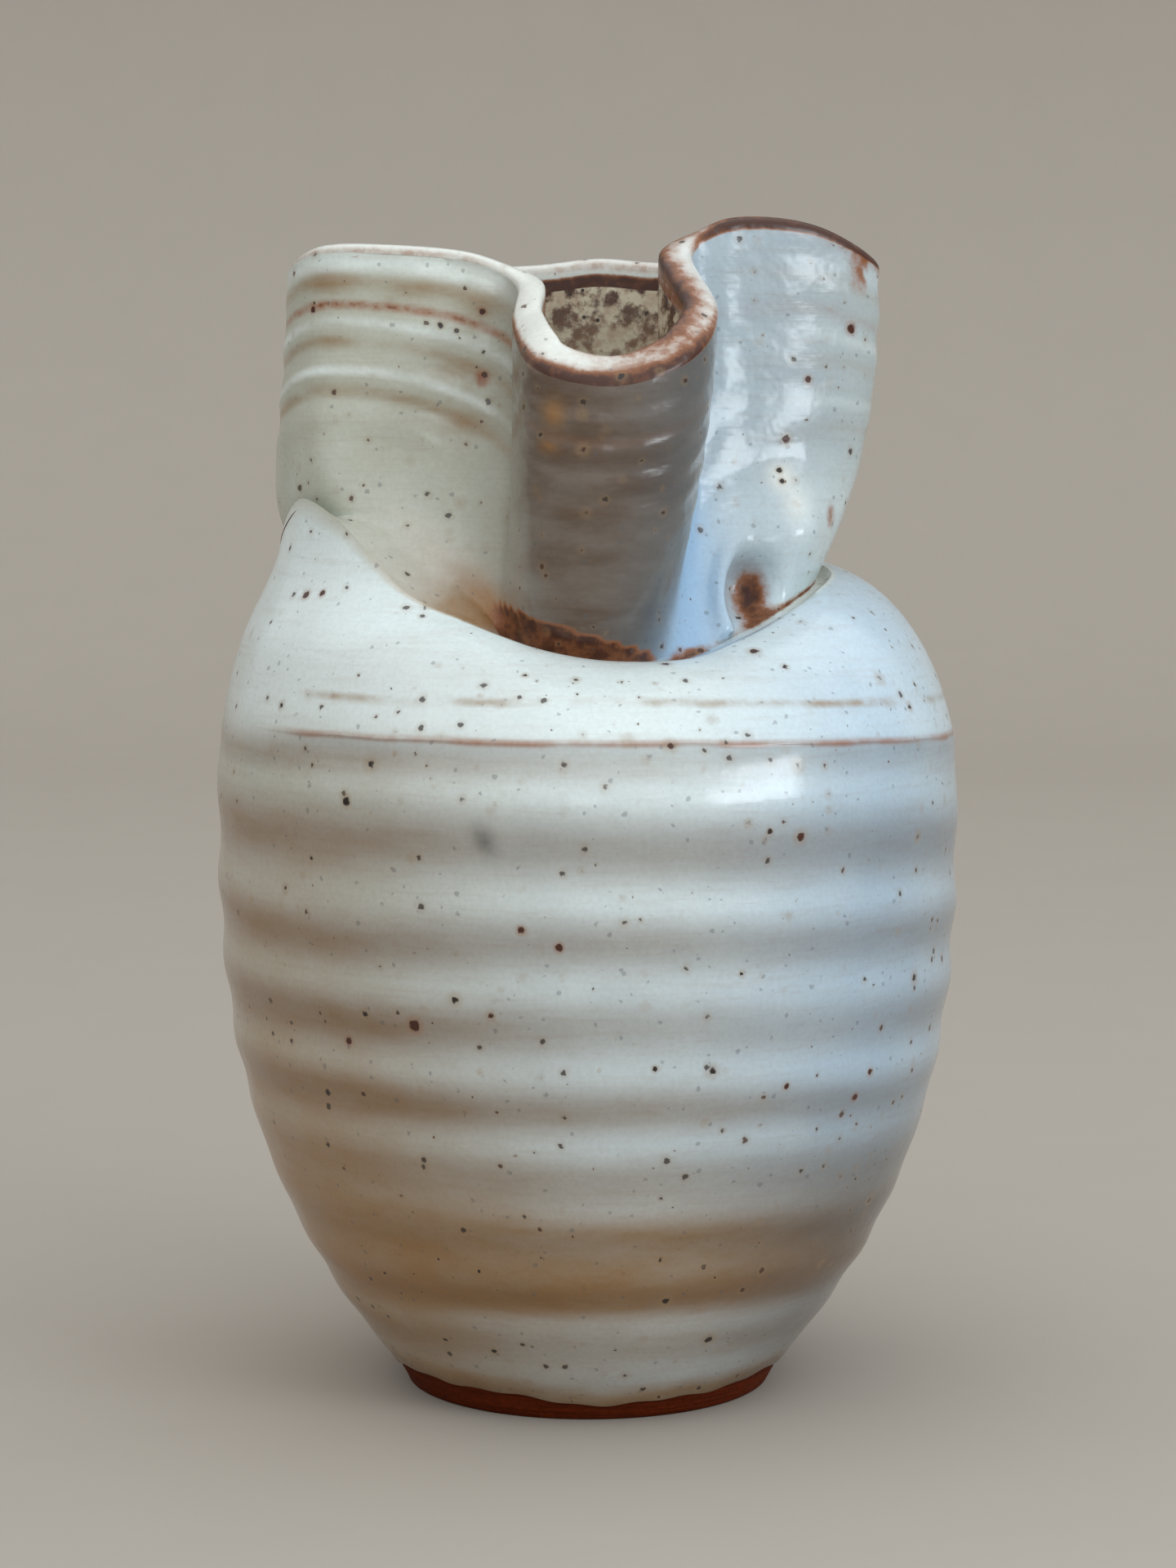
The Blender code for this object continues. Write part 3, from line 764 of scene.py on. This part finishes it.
def iron_specks():
    """Round iron specks of mixed sizes, each with a paler halo."""
    nodes, given, result = start_group(
        "iron_specks", ("Vector",), ("Scale", "Size", "Share"), ("Core", "Halo", "Tone"))
    cells = nodes.add("TexVoronoi", {"Vector": given["Vector"], "Scale": given["Scale"]})
    chance = nodes.add("SeparateColor", {0: cells["Color"]})
    size = nodes.plus(nodes.calc("POWER", chance["Red"], 2.0), 0.25)
    present = nodes.calc("LESS_THAN", chance["Green"], given["Share"])
    size = nodes.plus(nodes.times(size, given["Size"], given["Scale"], present), 1e-5)
    away = nodes.calc("DIVIDE", cells["Distance"], size)
    nodes.plug(result["Core"], nodes.between(away, 1.0, 0.6))
    nodes.plug(result["Halo"], nodes.between(away, 2.4, 0.8))
    nodes.plug(result["Tone"], chance["Blue"])
    return nodes.tree


def iron_spot():
    """One round spot at a place on the surface."""
    nodes, given, result = start_group(
        "iron_spot", ("Vector", "Centre"), ("Radius", "Ragged"), ("Core", "Halo"))
    apart = nodes.add("VectorMath", {0: given["Vector"], 1: given["Centre"]}, operation="DISTANCE")
    away = nodes.plus(nodes.calc("DIVIDE", apart["Value"], given["Radius"]), given["Ragged"])
    nodes.plug(result["Core"], nodes.between(away, 1.1, 0.7))
    nodes.plug(result["Halo"], nodes.between(away, 2.1, 0.8))
    return nodes.tree


def wheel_line():
    """A soft thin line where a value passes a centre."""
    nodes, given, result = start_group("wheel_line", (), ("Value", "Centre", "Width"), ("Factor",))
    away = nodes.calc("ABSOLUTE", nodes.calc("SUBTRACT", given["Value"], given["Centre"]))
    nodes.plug(result["Factor"], nodes.between(away, given["Width"], 0.0))
    return nodes.tree


class PaleGlaze(Nodes):
    """Layers of the outer glaze, and the patterns that they share."""

    def __init__(self, tree, finish):
        super().__init__(tree, finish.pale)
        self.finish = finish
        self.here = self.place()
        self.streaks = self.patches(self.scaled(self.here, (1.0, 1.0, 3.0)), 60.0, 0.25, 0.75)
        self.threads = self.patches(self.scaled(self.here, (1.0, 1.0, 14.0)), 75.0, 0.46, 0.72)
        self.clouds = self.patches(self.here, 90.0, 0.25, 0.75)
        self.grains = self.patches(self.here, 520.0, 0.35, 0.65)
        self.wander = self.uneven(self.here, 45.0, 0.0016)
        self.ledge = self.layer("ledge")
        axes = self.axes(self.here)
        slope = self.plus(self.times(axes["X"], 0.012), self.times(self.plus(axes["Y"], 0.04), 0.035))
        self.level = self.plus(self.plus(axes["Z"], slope), self.wander)
        self.pits = 0.0

    def coat(self, name, low, mask, tone=None):
        self.paint(getattr(self.finish, tone or name), self.patchy(name, low, mask))

    def tones(self):
        """Broad tones, from the ground up."""
        self.paint(self.finish.sage, self.clouds, 0.15)
        # Mist is the thinner belly glaze, kept off the upper ridges as painted light
        self.coat("mist", 0.8, self.clouds)
        # The run layer is painted cool window light on the right of the belly and neck
        self.coat("run", 0.85, self.clouds)
        self.coat("sage", 0.8, self.clouds)
        # Tan, umber and slate also carry painted shade and warm bounce light on the belly
        self.coat("tan", 0.75, self.streaks)
        self.paint(self.finish.tan, self.threads, 0.11)
        self.coat("umber", 0.86, self.streaks)
        self.coat("slate", 0.9, self.streaks)
        self.coat("glassy", 0.9, self.clouds, "run")
        # Cream also carries painted light in the pocket left of the lobe
        self.coat("cream", 0.8, self.grains)
        # Amber also carries painted warm bounce light at the belly's left and low down
        self.coat("amber", 0.55, self.clouds)

    def lines(self):
        """Lines that the wheel left round the shoulder and the wings, with painted shade under the shoulder's
        step.
        """
        finish, level, ledge, clouds = self.finish, self.level, self.ledge, self.clouds
        # Painted shade under the step at the shoulder's line, fading out downwards
        rising = self.between(level, 0.0985, 0.1022)
        self.paint(finish.slate, rising, self.between(level, 0.1024, 0.1022), ledge, 0.35)
        broken = self.stretch(clouds, 0.7, 0.2)
        self.paint(finish.russet, self.line(level, SHOULDER_LINE, 0.0009), ledge, broken)
        self.paint(finish.tan, self.line(level, FAINT_LINE, 0.0010), ledge, clouds, clouds)
        up = self.plus(self.layer("up"), self.times(self.wander, 9.0))
        strokes = self.times(self.layer("bands"), self.stretch(self.streaks, 0.8, 0.1))
        for centre, width, tone in STRIPES:
            self.paint(getattr(finish, tone), self.line(up, centre, width), strokes)
        grainy = self.stretch(self.grains, 0.45, 0.55)
        ring = self.times(self.line(up, WING_LINE, 0.030), self.layer("line"), grainy)
        self.paint(finish.russet, ring, 0.95)
        self.paint(finish.rust, self.between(ring, 0.8, 1.0), clouds)

    def iron(self, spots):
        """Rust, smoke and specks; the rust and smoke layers also carry painted shade, in the creases and at
        the left edges.
        """
        finish, here = self.finish, self.here
        rust = self.patchy("rust", 0.7, self.grains)
        self.paint(finish.russet, self.between(rust, 0.10, 0.5))
        self.paint(finish.rust, self.between(rust, 0.30, 0.85))
        self.coat("soot_and_shade", 0.45, self.clouds)
        self.paint(finish.umber, self.patches(here, 1500.0, 0.30, 0.75), 0.09)

        jitter = self.add("TexNoise", {"Vector": here, "Scale": 1700.0})["Color"]
        crumple = {0: jitter, 1: (0.0007, 0.0007, 0.0007), 2: here}
        crumpled = self.add("VectorMath", crumple, operation="MULTIPLY_ADD")[0]
        faint = self.specks(crumpled, 560.0, 0.00040, 0.8)
        fine = self.specks(crumpled, 350.0, 0.00050, 0.75)
        coarse = self.specks(crumpled, 165.0, 0.00066, 0.85)
        self.paint(finish.slate, faint["Core"], 0.40)
        self.paint(finish.tan, self.larger(self.times(fine["Halo"], 0.22), self.times(coarse["Halo"], 0.35)))
        self.pits = self.larger(self.times(fine["Core"], 0.85), coarse["Core"])
        red = self.calc("GREATER_THAN", coarse["Tone"], 0.7)
        self.paint(self.blend(red, finish.speck, finish.rust), self.pits)
        ragged = self.uneven(here, 1400.0, 0.9)
        for centre, radius, red in spots:
            mark = self.group(iron_spot, Vector=here, Centre=centre, Radius=radius, Ragged=ragged)
            self.paint(finish.russet if red else finish.tan, mark["Halo"], 0.4)
            self.paint(finish.rust if red else finish.speck, mark["Core"])
            self.pits = self.larger(self.pits, mark["Core"])

    def surface(self):
        """Gloss and fine relief: ripples, pits under the specks, and the step at the shoulder's line."""
        roughness = self.stretch(self.layer("rust"), 0.14, 0.18)
        roughness = self.plus(roughness, self.times(self.clouds, 0.05))
        ripple = self.plus(self.noise(self.here, 260.0, 2.0), self.noise(self.here, 110.0, 1.0))
        ripple = self.times(ripple, self.plus(self.layer("uneven"), 0.5))
        height = self.calc("SUBTRACT", ripple, self.times(self.pits, 0.35))
        height = self.plus(height, self.times(self.threads, 0.04))
        up = self.between(self.level, 0.1018, SHOULDER_LINE)
        step = self.times(up, self.between(self.level, 0.1075, SHOULDER_LINE), self.ledge, 0.9)
        self.shade(roughness, self.plus(height, step), 0.35, 0.12, 0.4)


def pale_glaze_material(finish, spots):
    material, nodes = new_material("pale_glaze", finish.pale)
    glaze = PaleGlaze(nodes.tree, finish)
    glaze.tones()
    glaze.lines()
    glaze.iron(spots)
    glaze.surface()
    return material


def liner_glaze_material(finish):
    material, nodes = new_material("liner_glaze", finish.liner)
    place = nodes.place()
    clouds = nodes.patches(place, 300.0, 0.44, 0.60)
    grains = nodes.patches(place, 620.0, 0.40, 0.62)
    nodes.paint(finish.liner_dark, clouds, 0.72)
    nodes.paint(finish.russet, grains, 0.35)
    nodes.paint(finish.rust, nodes.layer("rust"), clouds)
    nodes.paint(finish.speck, nodes.specks(place, 430.0, 0.0006, 0.9)["Core"])
    nodes.shade(nodes.stretch(grains, 0.12, 0.24), nodes.noise(place, 300.0), 0.3, 0.15)
    return material


def clay_material(finish, name):
    material, nodes = new_material(name, finish.clay)
    place = nodes.place()
    lines = nodes.patches(nodes.scaled(place, (0.2, 0.2, 6.0)), 260.0, 0.35, 0.65)
    grains = nodes.patches(place, 900.0, 0.3, 0.7)
    nodes.paint([min(1.0, 1.6 * part + 0.002) for part in finish.clay], grains, 0.6)
    nodes.paint([0.6 * part for part in finish.clay], lines, 0.5)
    nodes.paint(finish.speck, nodes.specks(place, 420.0, 0.0004, 0.6)["Core"], 0.7)
    height = nodes.plus(nodes.times(lines, 0.5), nodes.times(grains, 0.5))
    nodes.shade(nodes.stretch(grains, 0.2, 0.55), height, 0.5, 0.0, 0.05)
    return material


# Where the tones of the outer glaze lie

class Surface:
    """Places on the outer glaze, and the part of the pot that each is on."""

    def __init__(self, form, rings, shares, past):
        self.form = form
        self.heights = rings[:, :, 2]
        self.x, self.y, self.z = np.moveaxis(rings, 2, 0) / MM
        self.station = station_numbers() + 0 * self.x
        self.shares = shares
        self.past = past
        self.neck = shares > 0
        self.body = shares <= -0.1
        self.dip = ~self.neck & ~self.body
        self.up = np.where(self.neck, shares * (form.rim[:, 2] - form.crease[:, 2]) / MM, 0)


def body_tones(at):
    """Warm in the grooves and at the left, cool at the right: painted shade and warm bounce light in the
    grooves, at the left and low down, and painted cool window light at the right, over the glaze's own tones.
    """
    form, x, z = at.form, at.x, at.z
    line = form.glaze_line() / MM
    left = ramp(-x, -8, 50)
    right = ramp(x, 5, 52)
    low = ramp(-z, -72, -38)
    foot = ramp(-z, -50, -30)
    # Band and dark ring low on the belly: painted shade and warm bounce light where the belly turns under
    # towards the foot
    band = 0.9 * bell(z, 27, 7) + 0.35 * bell(z, 22.5, 3)
    # Painted shade in the grooves under each ring, and painted light on the ridges where the light catches
    # them
    grooves = 0.5 - 0.5 * np.cos(math.tau * form.below_ring(at.heights))
    under = np.clip(form.ring_strength(at.heights), 0, 1.2) * grooves
    ridge = 1 - np.clip(under, 0, 1)

    # Grey of the thinner belly glaze, left off the upper ridges as painted light
    mist = 0.85 * ramp(-z, -104, -92) * (1 - 0.6 * ridge * ramp(z, 64, 90))
    # Tan: painted shade and warm bounce light in the grooves, at the left and low down, over the glaze's own
    # tan; the last term is thin glaze just above the glaze line
    tan = under * (0.36 + 0.64 * left + 0.22 * low)
    tan += ridge * left * (0.30 + 0.30 * low) * ramp(-z, -116, -92)
    tan = (tan + 0.34 * foot) * (1 - 0.55 * right) + 0.8 * band
    tan += 0.9 * bell(z, line + 0.9, 1.5) * (at.shares < -1)
    # Painted cool window light on the right of the belly, fading towards the far side
    painted_window_light = 0.10 + 0.60 * right * (1 - 0.85 * foot) * (1 - 0.45 * ramp(x, 38, 56))
    # Umber: painted shade low on the right, in the left grooves and in the deep groove above the foot; at the
    # glaze line it is the thin glaze's brown edge
    umber = 0.08 * band + 0.75 * right * ramp(-z, -48, -27) + 0.04 * foot + 0.10 * under * left
    umber += 0.40 * bell(z, 21.3, 1.9) + 0.6 * bell(z, line + 0.3, 0.9)
    # Slate: painted shade, grey in the grooves and down the right side
    slate = under * (0.20 + 0.14 * right)
    slate += right * (0.2 * right * ramp(-z, -104, -90) + 0.4 * ramp(-z, -55, -38))
    # Sage on the upper ridges at the left: painted shade on the side away from the light
    sage = left * ridge * 0.75 * ramp(-z, -108, -96)
    # Amber: painted warm bounce light at the left, low down and in the deep groove above the foot
    amber = 0.24 * ramp(-x, 18, 52) * ramp(-z, -100, -80)
    amber += 0.36 * left * low + 0.22 * band * (1 - right) + 0.25 * bell(z, 21.3, 2.2)
    soot_and_shade = (at.y < 0) * 0.8 * bell(x + 0.3 * z, 12.4, 1.6) * bell(z, 89.4, 2.2)
    ledge = ramp(form.front, -1.1, -0.7) * (1 - ramp(form.front, 1.5, 1.9))
    tones = {"mist": mist, "tan": tan, "run": painted_window_light, "umber": umber, "slate": slate, "sage": sage,
             "amber": amber, "soot_and_shade": soot_and_shade, "ledge": ledge}
    return {name: at.body * values for name, values in tones.items()}


def neck_tones(at):
    """Sage wings, a brown lobe that greys to the right, and the run of glaze down the fold beside it, with
    painted cool window light on the right, painted shade at the left wing's end, and crease rust that is
    partly painted shade.
    """
    x, z, shares, station, neck, dip = at.x, at.z, at.shares, at.station, at.neck, at.dip
    mist = ramp(shares, 0.2, 0.45) * from_station(9, 0.3, 0.7, 0.75, 0.75, 0.6, 0.4, 0.3, 0.1)
    # Painted cool window light on the right of the neck
    painted_window_light = from_station(9, 0.2, 0.5, 0.5, 0.45, 0.35, 0.15)
    edge = 1 - ramp(at.past, -0.12, 0.02)
    umber = edge * by_station((0.16, 0.07, 0, 0.08, 0.42, 0.78, 0.97, 1, 0.9, 0.35, 0, 0, 0, 0, 0, 0, 0.05))
    umber *= 1 - 0.2 * bell(station, 5.3, 0.9) * bell(shares, 0.22, 0.2)
    slate = edge * from_station(6, 0.1, 0.25, 0.75, 0.85, 0.1)
    slate += ramp(shares, 0.25, 0.45) * from_station(10, 0.05, 0.16, 0.2, 0.16, 0.1)
    sage = by_station((1, 1, 1, 1, 1, 0.4, 0.1, 0, 0, 0, 0.1, 0.2, 0.3, 0.5, 0.7, 0.8, 0.9))
    sage = sage * (1 - 0.55 * ramp(shares, 0.85, 0.95) - 0.15 * ramp(-shares, -0.3, -0.1))
    # Painted shade, with some smoke grey, where the left wing's end turns to the back
    soot_and_shade = 0.8 * bell(station, 16.6, 0.45) * bell(shares, 0.3, 0.4)
    bands = by_station((0.7, 0.9, 1, 1, 0.5, 0, 0, 0, 0, 0, 0, 0.1, 0.2, 0.5, 0.8, 0.8, 0.7))
    line = by_station((0.5, 1, 0.95, 1, 0.7, 0.1, 0.15, 0.15, 0.1, 0.05, 0, 0.1, 0.2, 0.2, 0, 0.2, 0.4))
    uneven = 0.2 + from_station(8, 0.1, 0.3, 0.4, 0.4, 0.4, 0.4, 0.2)

    pooled = from_station(2, 0.1, 0.45, 0.95, 0.5, 0.1)
    under_edge = 117.0 - 0.312 * x - z
    tongue = ramp(under_edge, -0.3, 0.6) * ramp(x, -15.5, -11.5) * ramp(-x, -11.0, -8.0)
    rust = (at.y < -18) * tongue * (0.76 + 0.14 * bell(under_edge, 0.9, 1.1))
    # Rust along the crease at the neck's foot, darkened as painted shade where the crease tucks in
    crease = by_station((0, 0, 0, 0, 0.2, 0.8, 0.9, 0.9, 0.8, 0.3, 0.5, 0.25, 0.6, 0.5, 0.1, 0.1, 0))
    rust += crease * bell(at.up, 0, 0.6)
    amber = bell(at.up, 0, 4.0) * pooled
    tones = {"mist": mist, "run": painted_window_light, "umber": umber, "slate": slate, "sage": sage, "soot_and_shade": soot_and_shade,
             "amber": amber, "rust": rust, "bands": bands, "line": line, "uneven": uneven}
    tones = {name: neck * values for name, values in tones.items()}

    dip_sage = by_station((0.6, 0.8, 1, 1, 1, 0.6, 0.2, 0, 0, 0, 0, 0, 0.1, 0.3, 0.5, 0.6, 0.6))
    tones["sage"] += dip * 0.95 * dip_sage
    tones["amber"] += dip * 0.9 * pooled
    # The same crease line in the dip: rust, and painted shade
    tones["rust"] += dip * crease * ramp(shares, -0.015, 0.0)
    # Cream in the pocket left of the lobe: yellowish glaze, brightened as painted light where the slope faces
    # up
    tones["cream"] = 0.65 * (neck | dip) * bell(station, 2.9, 0.8) * bell(at.up, 1, 4)
    course = 9.8 + 0.3 * ramp(-shares, -0.8, 0.0)
    width = 0.28 + 0.72 * ramp(-shares, -0.6, 0.05)
    tones["glassy"] = (neck | dip) * bell(station, course, width) * (1 - ramp(shares, 0.70, 0.9))
    return tones


def rim_tones(at):
    """Cream over the top of the rim, and rust along its edges."""
    past = at.past
    turn_in = by_station((1.05,) * 13 + (1.1, 1.2, 1.25, 1.15))
    cream = ramp(past, -0.1, 0.15) * (1 - ramp(past, turn_in - 0.1, turn_in + 0.1))
    cream *= by_station((0.9, 0.9, 0.9, 0.9, 0.95, 1, 1, 0.9, 0.75, 0.8, 0.95, 0.8, 0.6, 0.6, 0.9, 1, 1))
    outer_edge = by_station(
        (0.3, 0.3, 0.35, 0.3, 0.2, 0.6, 1.2, 1.3, 1.0, 0.35, 0.25, 0.8, 0.9, 0.9, 0.6, 0.3, 0.3))
    inner_edge = 0.2 + from_station(5, 0.1, 0.1, 0.15, 0.4, 0.5, 0.4, 0.25, 0.3, 0.2)
    inner_half = from_station(6, 0.05, 0.15, 0.4, 0.55, 0.4, 0.1)
    inner_band = 0.5 + by_station((0.1, 0, 0, -0.1, 0, 0, 0, 0, 0, 0, 0, 0, 0.1, 0.2, 0.35, 0.4, 0.3))
    top = by_station(
        (0.03, 0.03, 0.03, 0.03, 0, 0, 0.06, 0.22, 0.28, 0.14, 0.05, 0.4, 0.5, 0.42, 0.2, 0.1, 0.05))
    below = from_station(10, 0.1, 0.3, 0.4, 0.6, 0.3, 0.1)
    rust = outer_edge * bell(past, 0.03, 0.22) + inner_edge * bell(past, 1.0, 0.2)
    rust += inner_half * bell(past, 0.72, 0.28) + inner_band * ramp(past, turn_in, turn_in + 0.2)
    rust += top * ramp(past, 0.0, 0.2) * (1 - ramp(past, 0.9, 1.1))
    rust += at.neck * below * ramp(past, -1.2, 0.0) * 0.7
    return {"cream": cream, "rust": rust}


def glaze_layers(form, rings, shares, past):
    """Strength of each tone of the glaze, painted light and shade among them, from 0 to 1 at each point."""
    at = Surface(form, rings, shares, past)
    # Dark grey at the far left of the shoulder: painted shade where the side turns from the light
    layers = {"up": shares, "soot_and_shade": 0.9 * bell(at.x, -52, 5) * bell(at.z, 101, 8) * bell(at.y, 6, 14)}
    for tones in (body_tones(at), neck_tones(at), rim_tones(at)):
        for name, values in tones.items():
            layers[name] = layers.get(name, 0) + values
    for tone, x, z, wide, high, amount in SMUDGES:
        mark = amount * bell(at.x, x, wide) * bell(at.z, z, high)
        layers[tone] = layers[tone] + mark * ~at.body * (at.y < 0)
    return layers


def front_point(rings, x, z):
    """Point of the front surface with a given x and z."""
    points = rings.reshape(-1, 3)
    normals = grid_normals(rings).reshape(-1, 3)
    away = np.hypot(points[:, 0] - x, points[:, 2] - z) + np.where(normals[:, 1] < 0.1, 0, 1)
    return (x, float(points[np.argmin(away)][1]), z)


# Pieces

class VASE_OT_clay_body(bpy.types.Operator):
    """Throws the clay body, with its turned foot"""

    bl_idname = "vase.clay_body"
    bl_label = "Clay Body"

    def execute(self, context):
        sizes = context.scene.vase_sizes
        form = Form(sizes)
        depth = sizes.glaze_coat + sizes.clearance
        outside, shares, _ = form.outside()
        outer = sunk(outside, depth)[shares[:, 0] <= 0.0][BARE_ROWS::2]
        inner = sunk(form.inside(), depth)[1 + INNER_NECK_ROWS:]
        inner[-1] = (0.0, 0.0, sizes.floor_thickness - depth - FLOOR_DIP)

        foot = []
        ring = sizes.foot_radius - FOOT_RING
        turn = form.turn
        for radius, height in ((0.0, FOOT_RECESS), (0.4 * ring, FOOT_RECESS), (ring - 0.003, 0.0024),
                               (ring - 0.001, 0.0018), (ring, 0.0006), (ring + 0.0006, 0.0),
                               (sizes.foot_radius - 0.0008, 0.0), (sizes.foot_radius - FOOT_EDGE, FOOT_EDGE)):
            foot.append(circle(radius, height, turn))
        for share in np.linspace(0.1, 1.0, FOOT_ROWS, endpoint=False):
            height = FOOT_EDGE + (outer[0][:, 2] - FOOT_EDGE) * share
            cut = 0.06 * MM * np.sin(height / MM * 5.0 + turn)
            foot.append(circle(form.belly_radius(height) - FOOT_STEP + cut, height, turn))
        rings = np.concatenate([np.array(foot), outer, inner])
        if len(rings) % 2 == 0:
            rings = np.delete(rings, len(foot) + 1, axis=0)
        obj, _, _ = add_sheet("clay_body", rings)
        close_poles()
        clay = clay_material(context.scene.vase_finish, "stoneware")
        finish_piece(obj, clay, "thrown_body", 40)
        return {"FINISHED"}


class VASE_OT_clay_neck(bpy.types.Operator):
    """Raises the folded clay wall of the neck"""

    bl_idname = "vase.clay_neck"
    bl_label = "Clay Neck"

    def execute(self, context):
        sizes = context.scene.vase_sizes
        form = Form(sizes)
        depth = sizes.glaze_coat + sizes.clearance
        outside, shares, _ = form.outside()
        x, y, z = np.moveaxis(outside, 2, 0) / MM
        under_pit = 1.8 * MM * bell(x, 24.0, 7.0) * bell(z, 121.0, 9.0) * (y < 0)
        outer = sunk(outside, (depth + under_pit)[:, :, None])[shares[:, 0] > 0.0]
        inner = sunk(form.inside(), depth)[1:1 + INNER_NECK_ROWS]
        rings = np.concatenate([outer, inner])[::2]
        if len(rings) % 2 == 0:
            rings = rings[:-1]
        obj, _, _ = add_sheet("clay_neck", rings)
        bridge_ends(obj)
        clay = clay_material(context.scene.vase_finish, "neck_stoneware")
        finish_piece(obj, clay, "folded_neck")
        return {"FINISHED"}


class VASE_OT_inner_glaze(bpy.types.Operator):
    """Coats the inside with the mottled liner glaze"""

    bl_idname = "vase.inner_glaze"
    bl_label = "Inner Glaze"

    def execute(self, context):
        sizes = context.scene.vase_sizes
        obj, row, _ = add_sheet("liner_coat", Form(sizes).inside())
        store(obj, "rust", bell(row, 0, 5.0))
        close_poles()
        thicken(obj, sizes.glaze_coat)
        finish_piece(obj, liner_glaze_material(context.scene.vase_finish), "inner_glaze")
        return {"FINISHED"}


class VASE_OT_outer_glaze(bpy.types.Operator):
    """Coats the outside and the rim with the speckled pale glaze"""

    bl_idname = "vase.outer_glaze"
    bl_label = "Outer Glaze"

    def execute(self, context):
        sizes = context.scene.vase_sizes
        form = Form(sizes)
        rings, shares, past = form.outside()
        obj, row, column = add_sheet("glaze_coat", rings)
        for name, values in glaze_layers(form, rings, shares, past).items():
            store(obj, name, values[row, column])
        spots = [(front_point(rings, x * MM, z * MM), radius * MM, red) for x, z, radius, red in SPOTS]
        thicken(obj, sizes.glaze_coat)
        finish_piece(obj, pale_glaze_material(context.scene.vase_finish, spots), "outer_glaze")
        return {"FINISHED"}


class VASE_OT_stage(bpy.types.Operator):
    """Sets out the floor, the soft lights and the camera"""

    bl_idname = "vase.stage"
    bl_label = "Stage"

    def execute(self, context):
        stage = context.scene.vase_stage
        self.add_floor(stage)
        self.add_softbox("key", (0.62, -0.50, 0.33), 0.40, 0.20, stage.key_power)
        self.add_softbox("fill", (-0.03, -1.25, 0.50), 0.16, 0.20, stage.fill_power)
        context.scene.world = self.surround(stage)
        bpy.ops.object.camera_add(location=(0.0, -stage.distance, stage.eye_height),
                                  rotation=(math.pi / 2 - stage.look_down, 0.0, 0.0))
        camera = context.object
        camera.data.lens = stage.lens
        camera.data.clip_start = 0.01
        context.scene.camera = camera
        context.scene.view_settings.view_transform = "Standard"
        return {"FINISHED"}

    def add_floor(self, stage):
        """A floor that sweeps up into a backdrop."""
        bpy.ops.object.select_all(action="DESELECT")
        bpy.ops.mesh.primitive_plane_add(size=3.0)
        floor = bpy.context.object
        floor.name = "floor"
        bpy.ops.object.mode_set(mode="EDIT")
        select_edges(floor, lambda side: all(vert.co.y > 1.4 for vert in side.verts))
        bpy.ops.mesh.extrude_region_move(TRANSFORM_OT_translate={"value": (0.0, 0.0, 2.0)})
        bpy.ops.object.mode_set(mode="OBJECT")
        sweep = floor.modifiers.new("sweep", "BEVEL")
        sweep.width = 0.5
        sweep.segments = 12
        bpy.ops.object.modifier_apply(modifier=sweep.name)
        bpy.ops.object.shade_smooth()
        material, nodes = new_material("floor", stage.floor)
        grain = nodes.noise(nodes.place(), 40.0)
        nodes.paint([min(1.0, part * 1.04) for part in stage.floor], grain)
        nodes.shade(0.75, grain, 0.02, 0.0)
        floor.data.materials.append(material)

    def add_softbox(self, name, place, width, height, power):
        bpy.ops.object.light_add(type="AREA", location=place)
        light = bpy.context.object
        light.name = name
        light.data.shape = "RECTANGLE"
        light.data.size = width
        light.data.size_y = height
        light.data.energy = power
        light.data.color = LIGHT_TINT
        aim = np.array(LIGHT_TARGET) - np.array(place)
        light.rotation_euler = (math.acos(-aim[2] / np.linalg.norm(aim)), 0.0,
                                math.atan2(aim[1], aim[0]) - math.pi / 2)

    def surround(self, stage):
        """Soft light from all round: strongest from above, and weakest from the sides and the back."""
        world = bpy.data.worlds.new("surround")
        world.use_nodes = True
        nodes = Nodes(world.node_tree)
        axes = nodes.axes(nodes.add("TexCoord")["Generated"])
        rise = nodes.between(axes["Z"], -0.1, 1.0)
        shade = world.node_tree.nodes["Background"]
        nodes.plug(shade.inputs["Color"], nodes.blend(rise, (1.0, 0.985, 0.96), (0.96, 0.985, 1.0)))
        above = nodes.stretch(rise, stage.sky_strength - stage.horizon_strength, stage.horizon_strength)
        facing = nodes.larger(nodes.times(axes["Y"], -1.0), 0.0)
        room = nodes.times(nodes.calc("POWER", facing, 2.0), stage.room_strength)
        nodes.plug(shade.inputs["Strength"], nodes.plus(above, room))
        return world


class VASE_PT_panel(bpy.types.Panel):
    """Lists the vase's pieces and settings"""

    bl_idname = "VASE_PT_panel"
    bl_label = "Folded Neck Vase"
    bl_space_type = "VIEW_3D"
    bl_region_type = "UI"
    bl_category = "Vase"

    def draw(self, context):
        for operator in OPERATORS:
            self.layout.operator(operator.bl_idname)
        for group in (context.scene.vase_sizes, context.scene.vase_finish, context.scene.vase_stage):
            box = self.layout.box()
            for name in group.__annotations__:
                box.prop(group, name)


OPERATORS = (VASE_OT_clay_body, VASE_OT_clay_neck, VASE_OT_inner_glaze, VASE_OT_outer_glaze, VASE_OT_stage)
CLASSES = (VaseSizes, VaseFinish, StageSettings, *OPERATORS, VASE_PT_panel)


def register():
    for cls in CLASSES:
        bpy.utils.register_class(cls)
    bpy.types.Scene.vase_sizes = PointerProperty(type=VaseSizes)
    bpy.types.Scene.vase_finish = PointerProperty(type=VaseFinish)
    bpy.types.Scene.vase_stage = PointerProperty(type=StageSettings)


def unregister():
    del bpy.types.Scene.vase_stage
    del bpy.types.Scene.vase_finish
    del bpy.types.Scene.vase_sizes
    for cls in reversed(CLASSES):
        bpy.utils.unregister_class(cls)


def main():
    register()
    bpy.ops.vase.clay_body()
    bpy.ops.vase.clay_neck()
    bpy.ops.vase.inner_glaze()
    bpy.ops.vase.outer_glaze()
    bpy.ops.vase.stage()


if __name__ == "__main__":
    main()
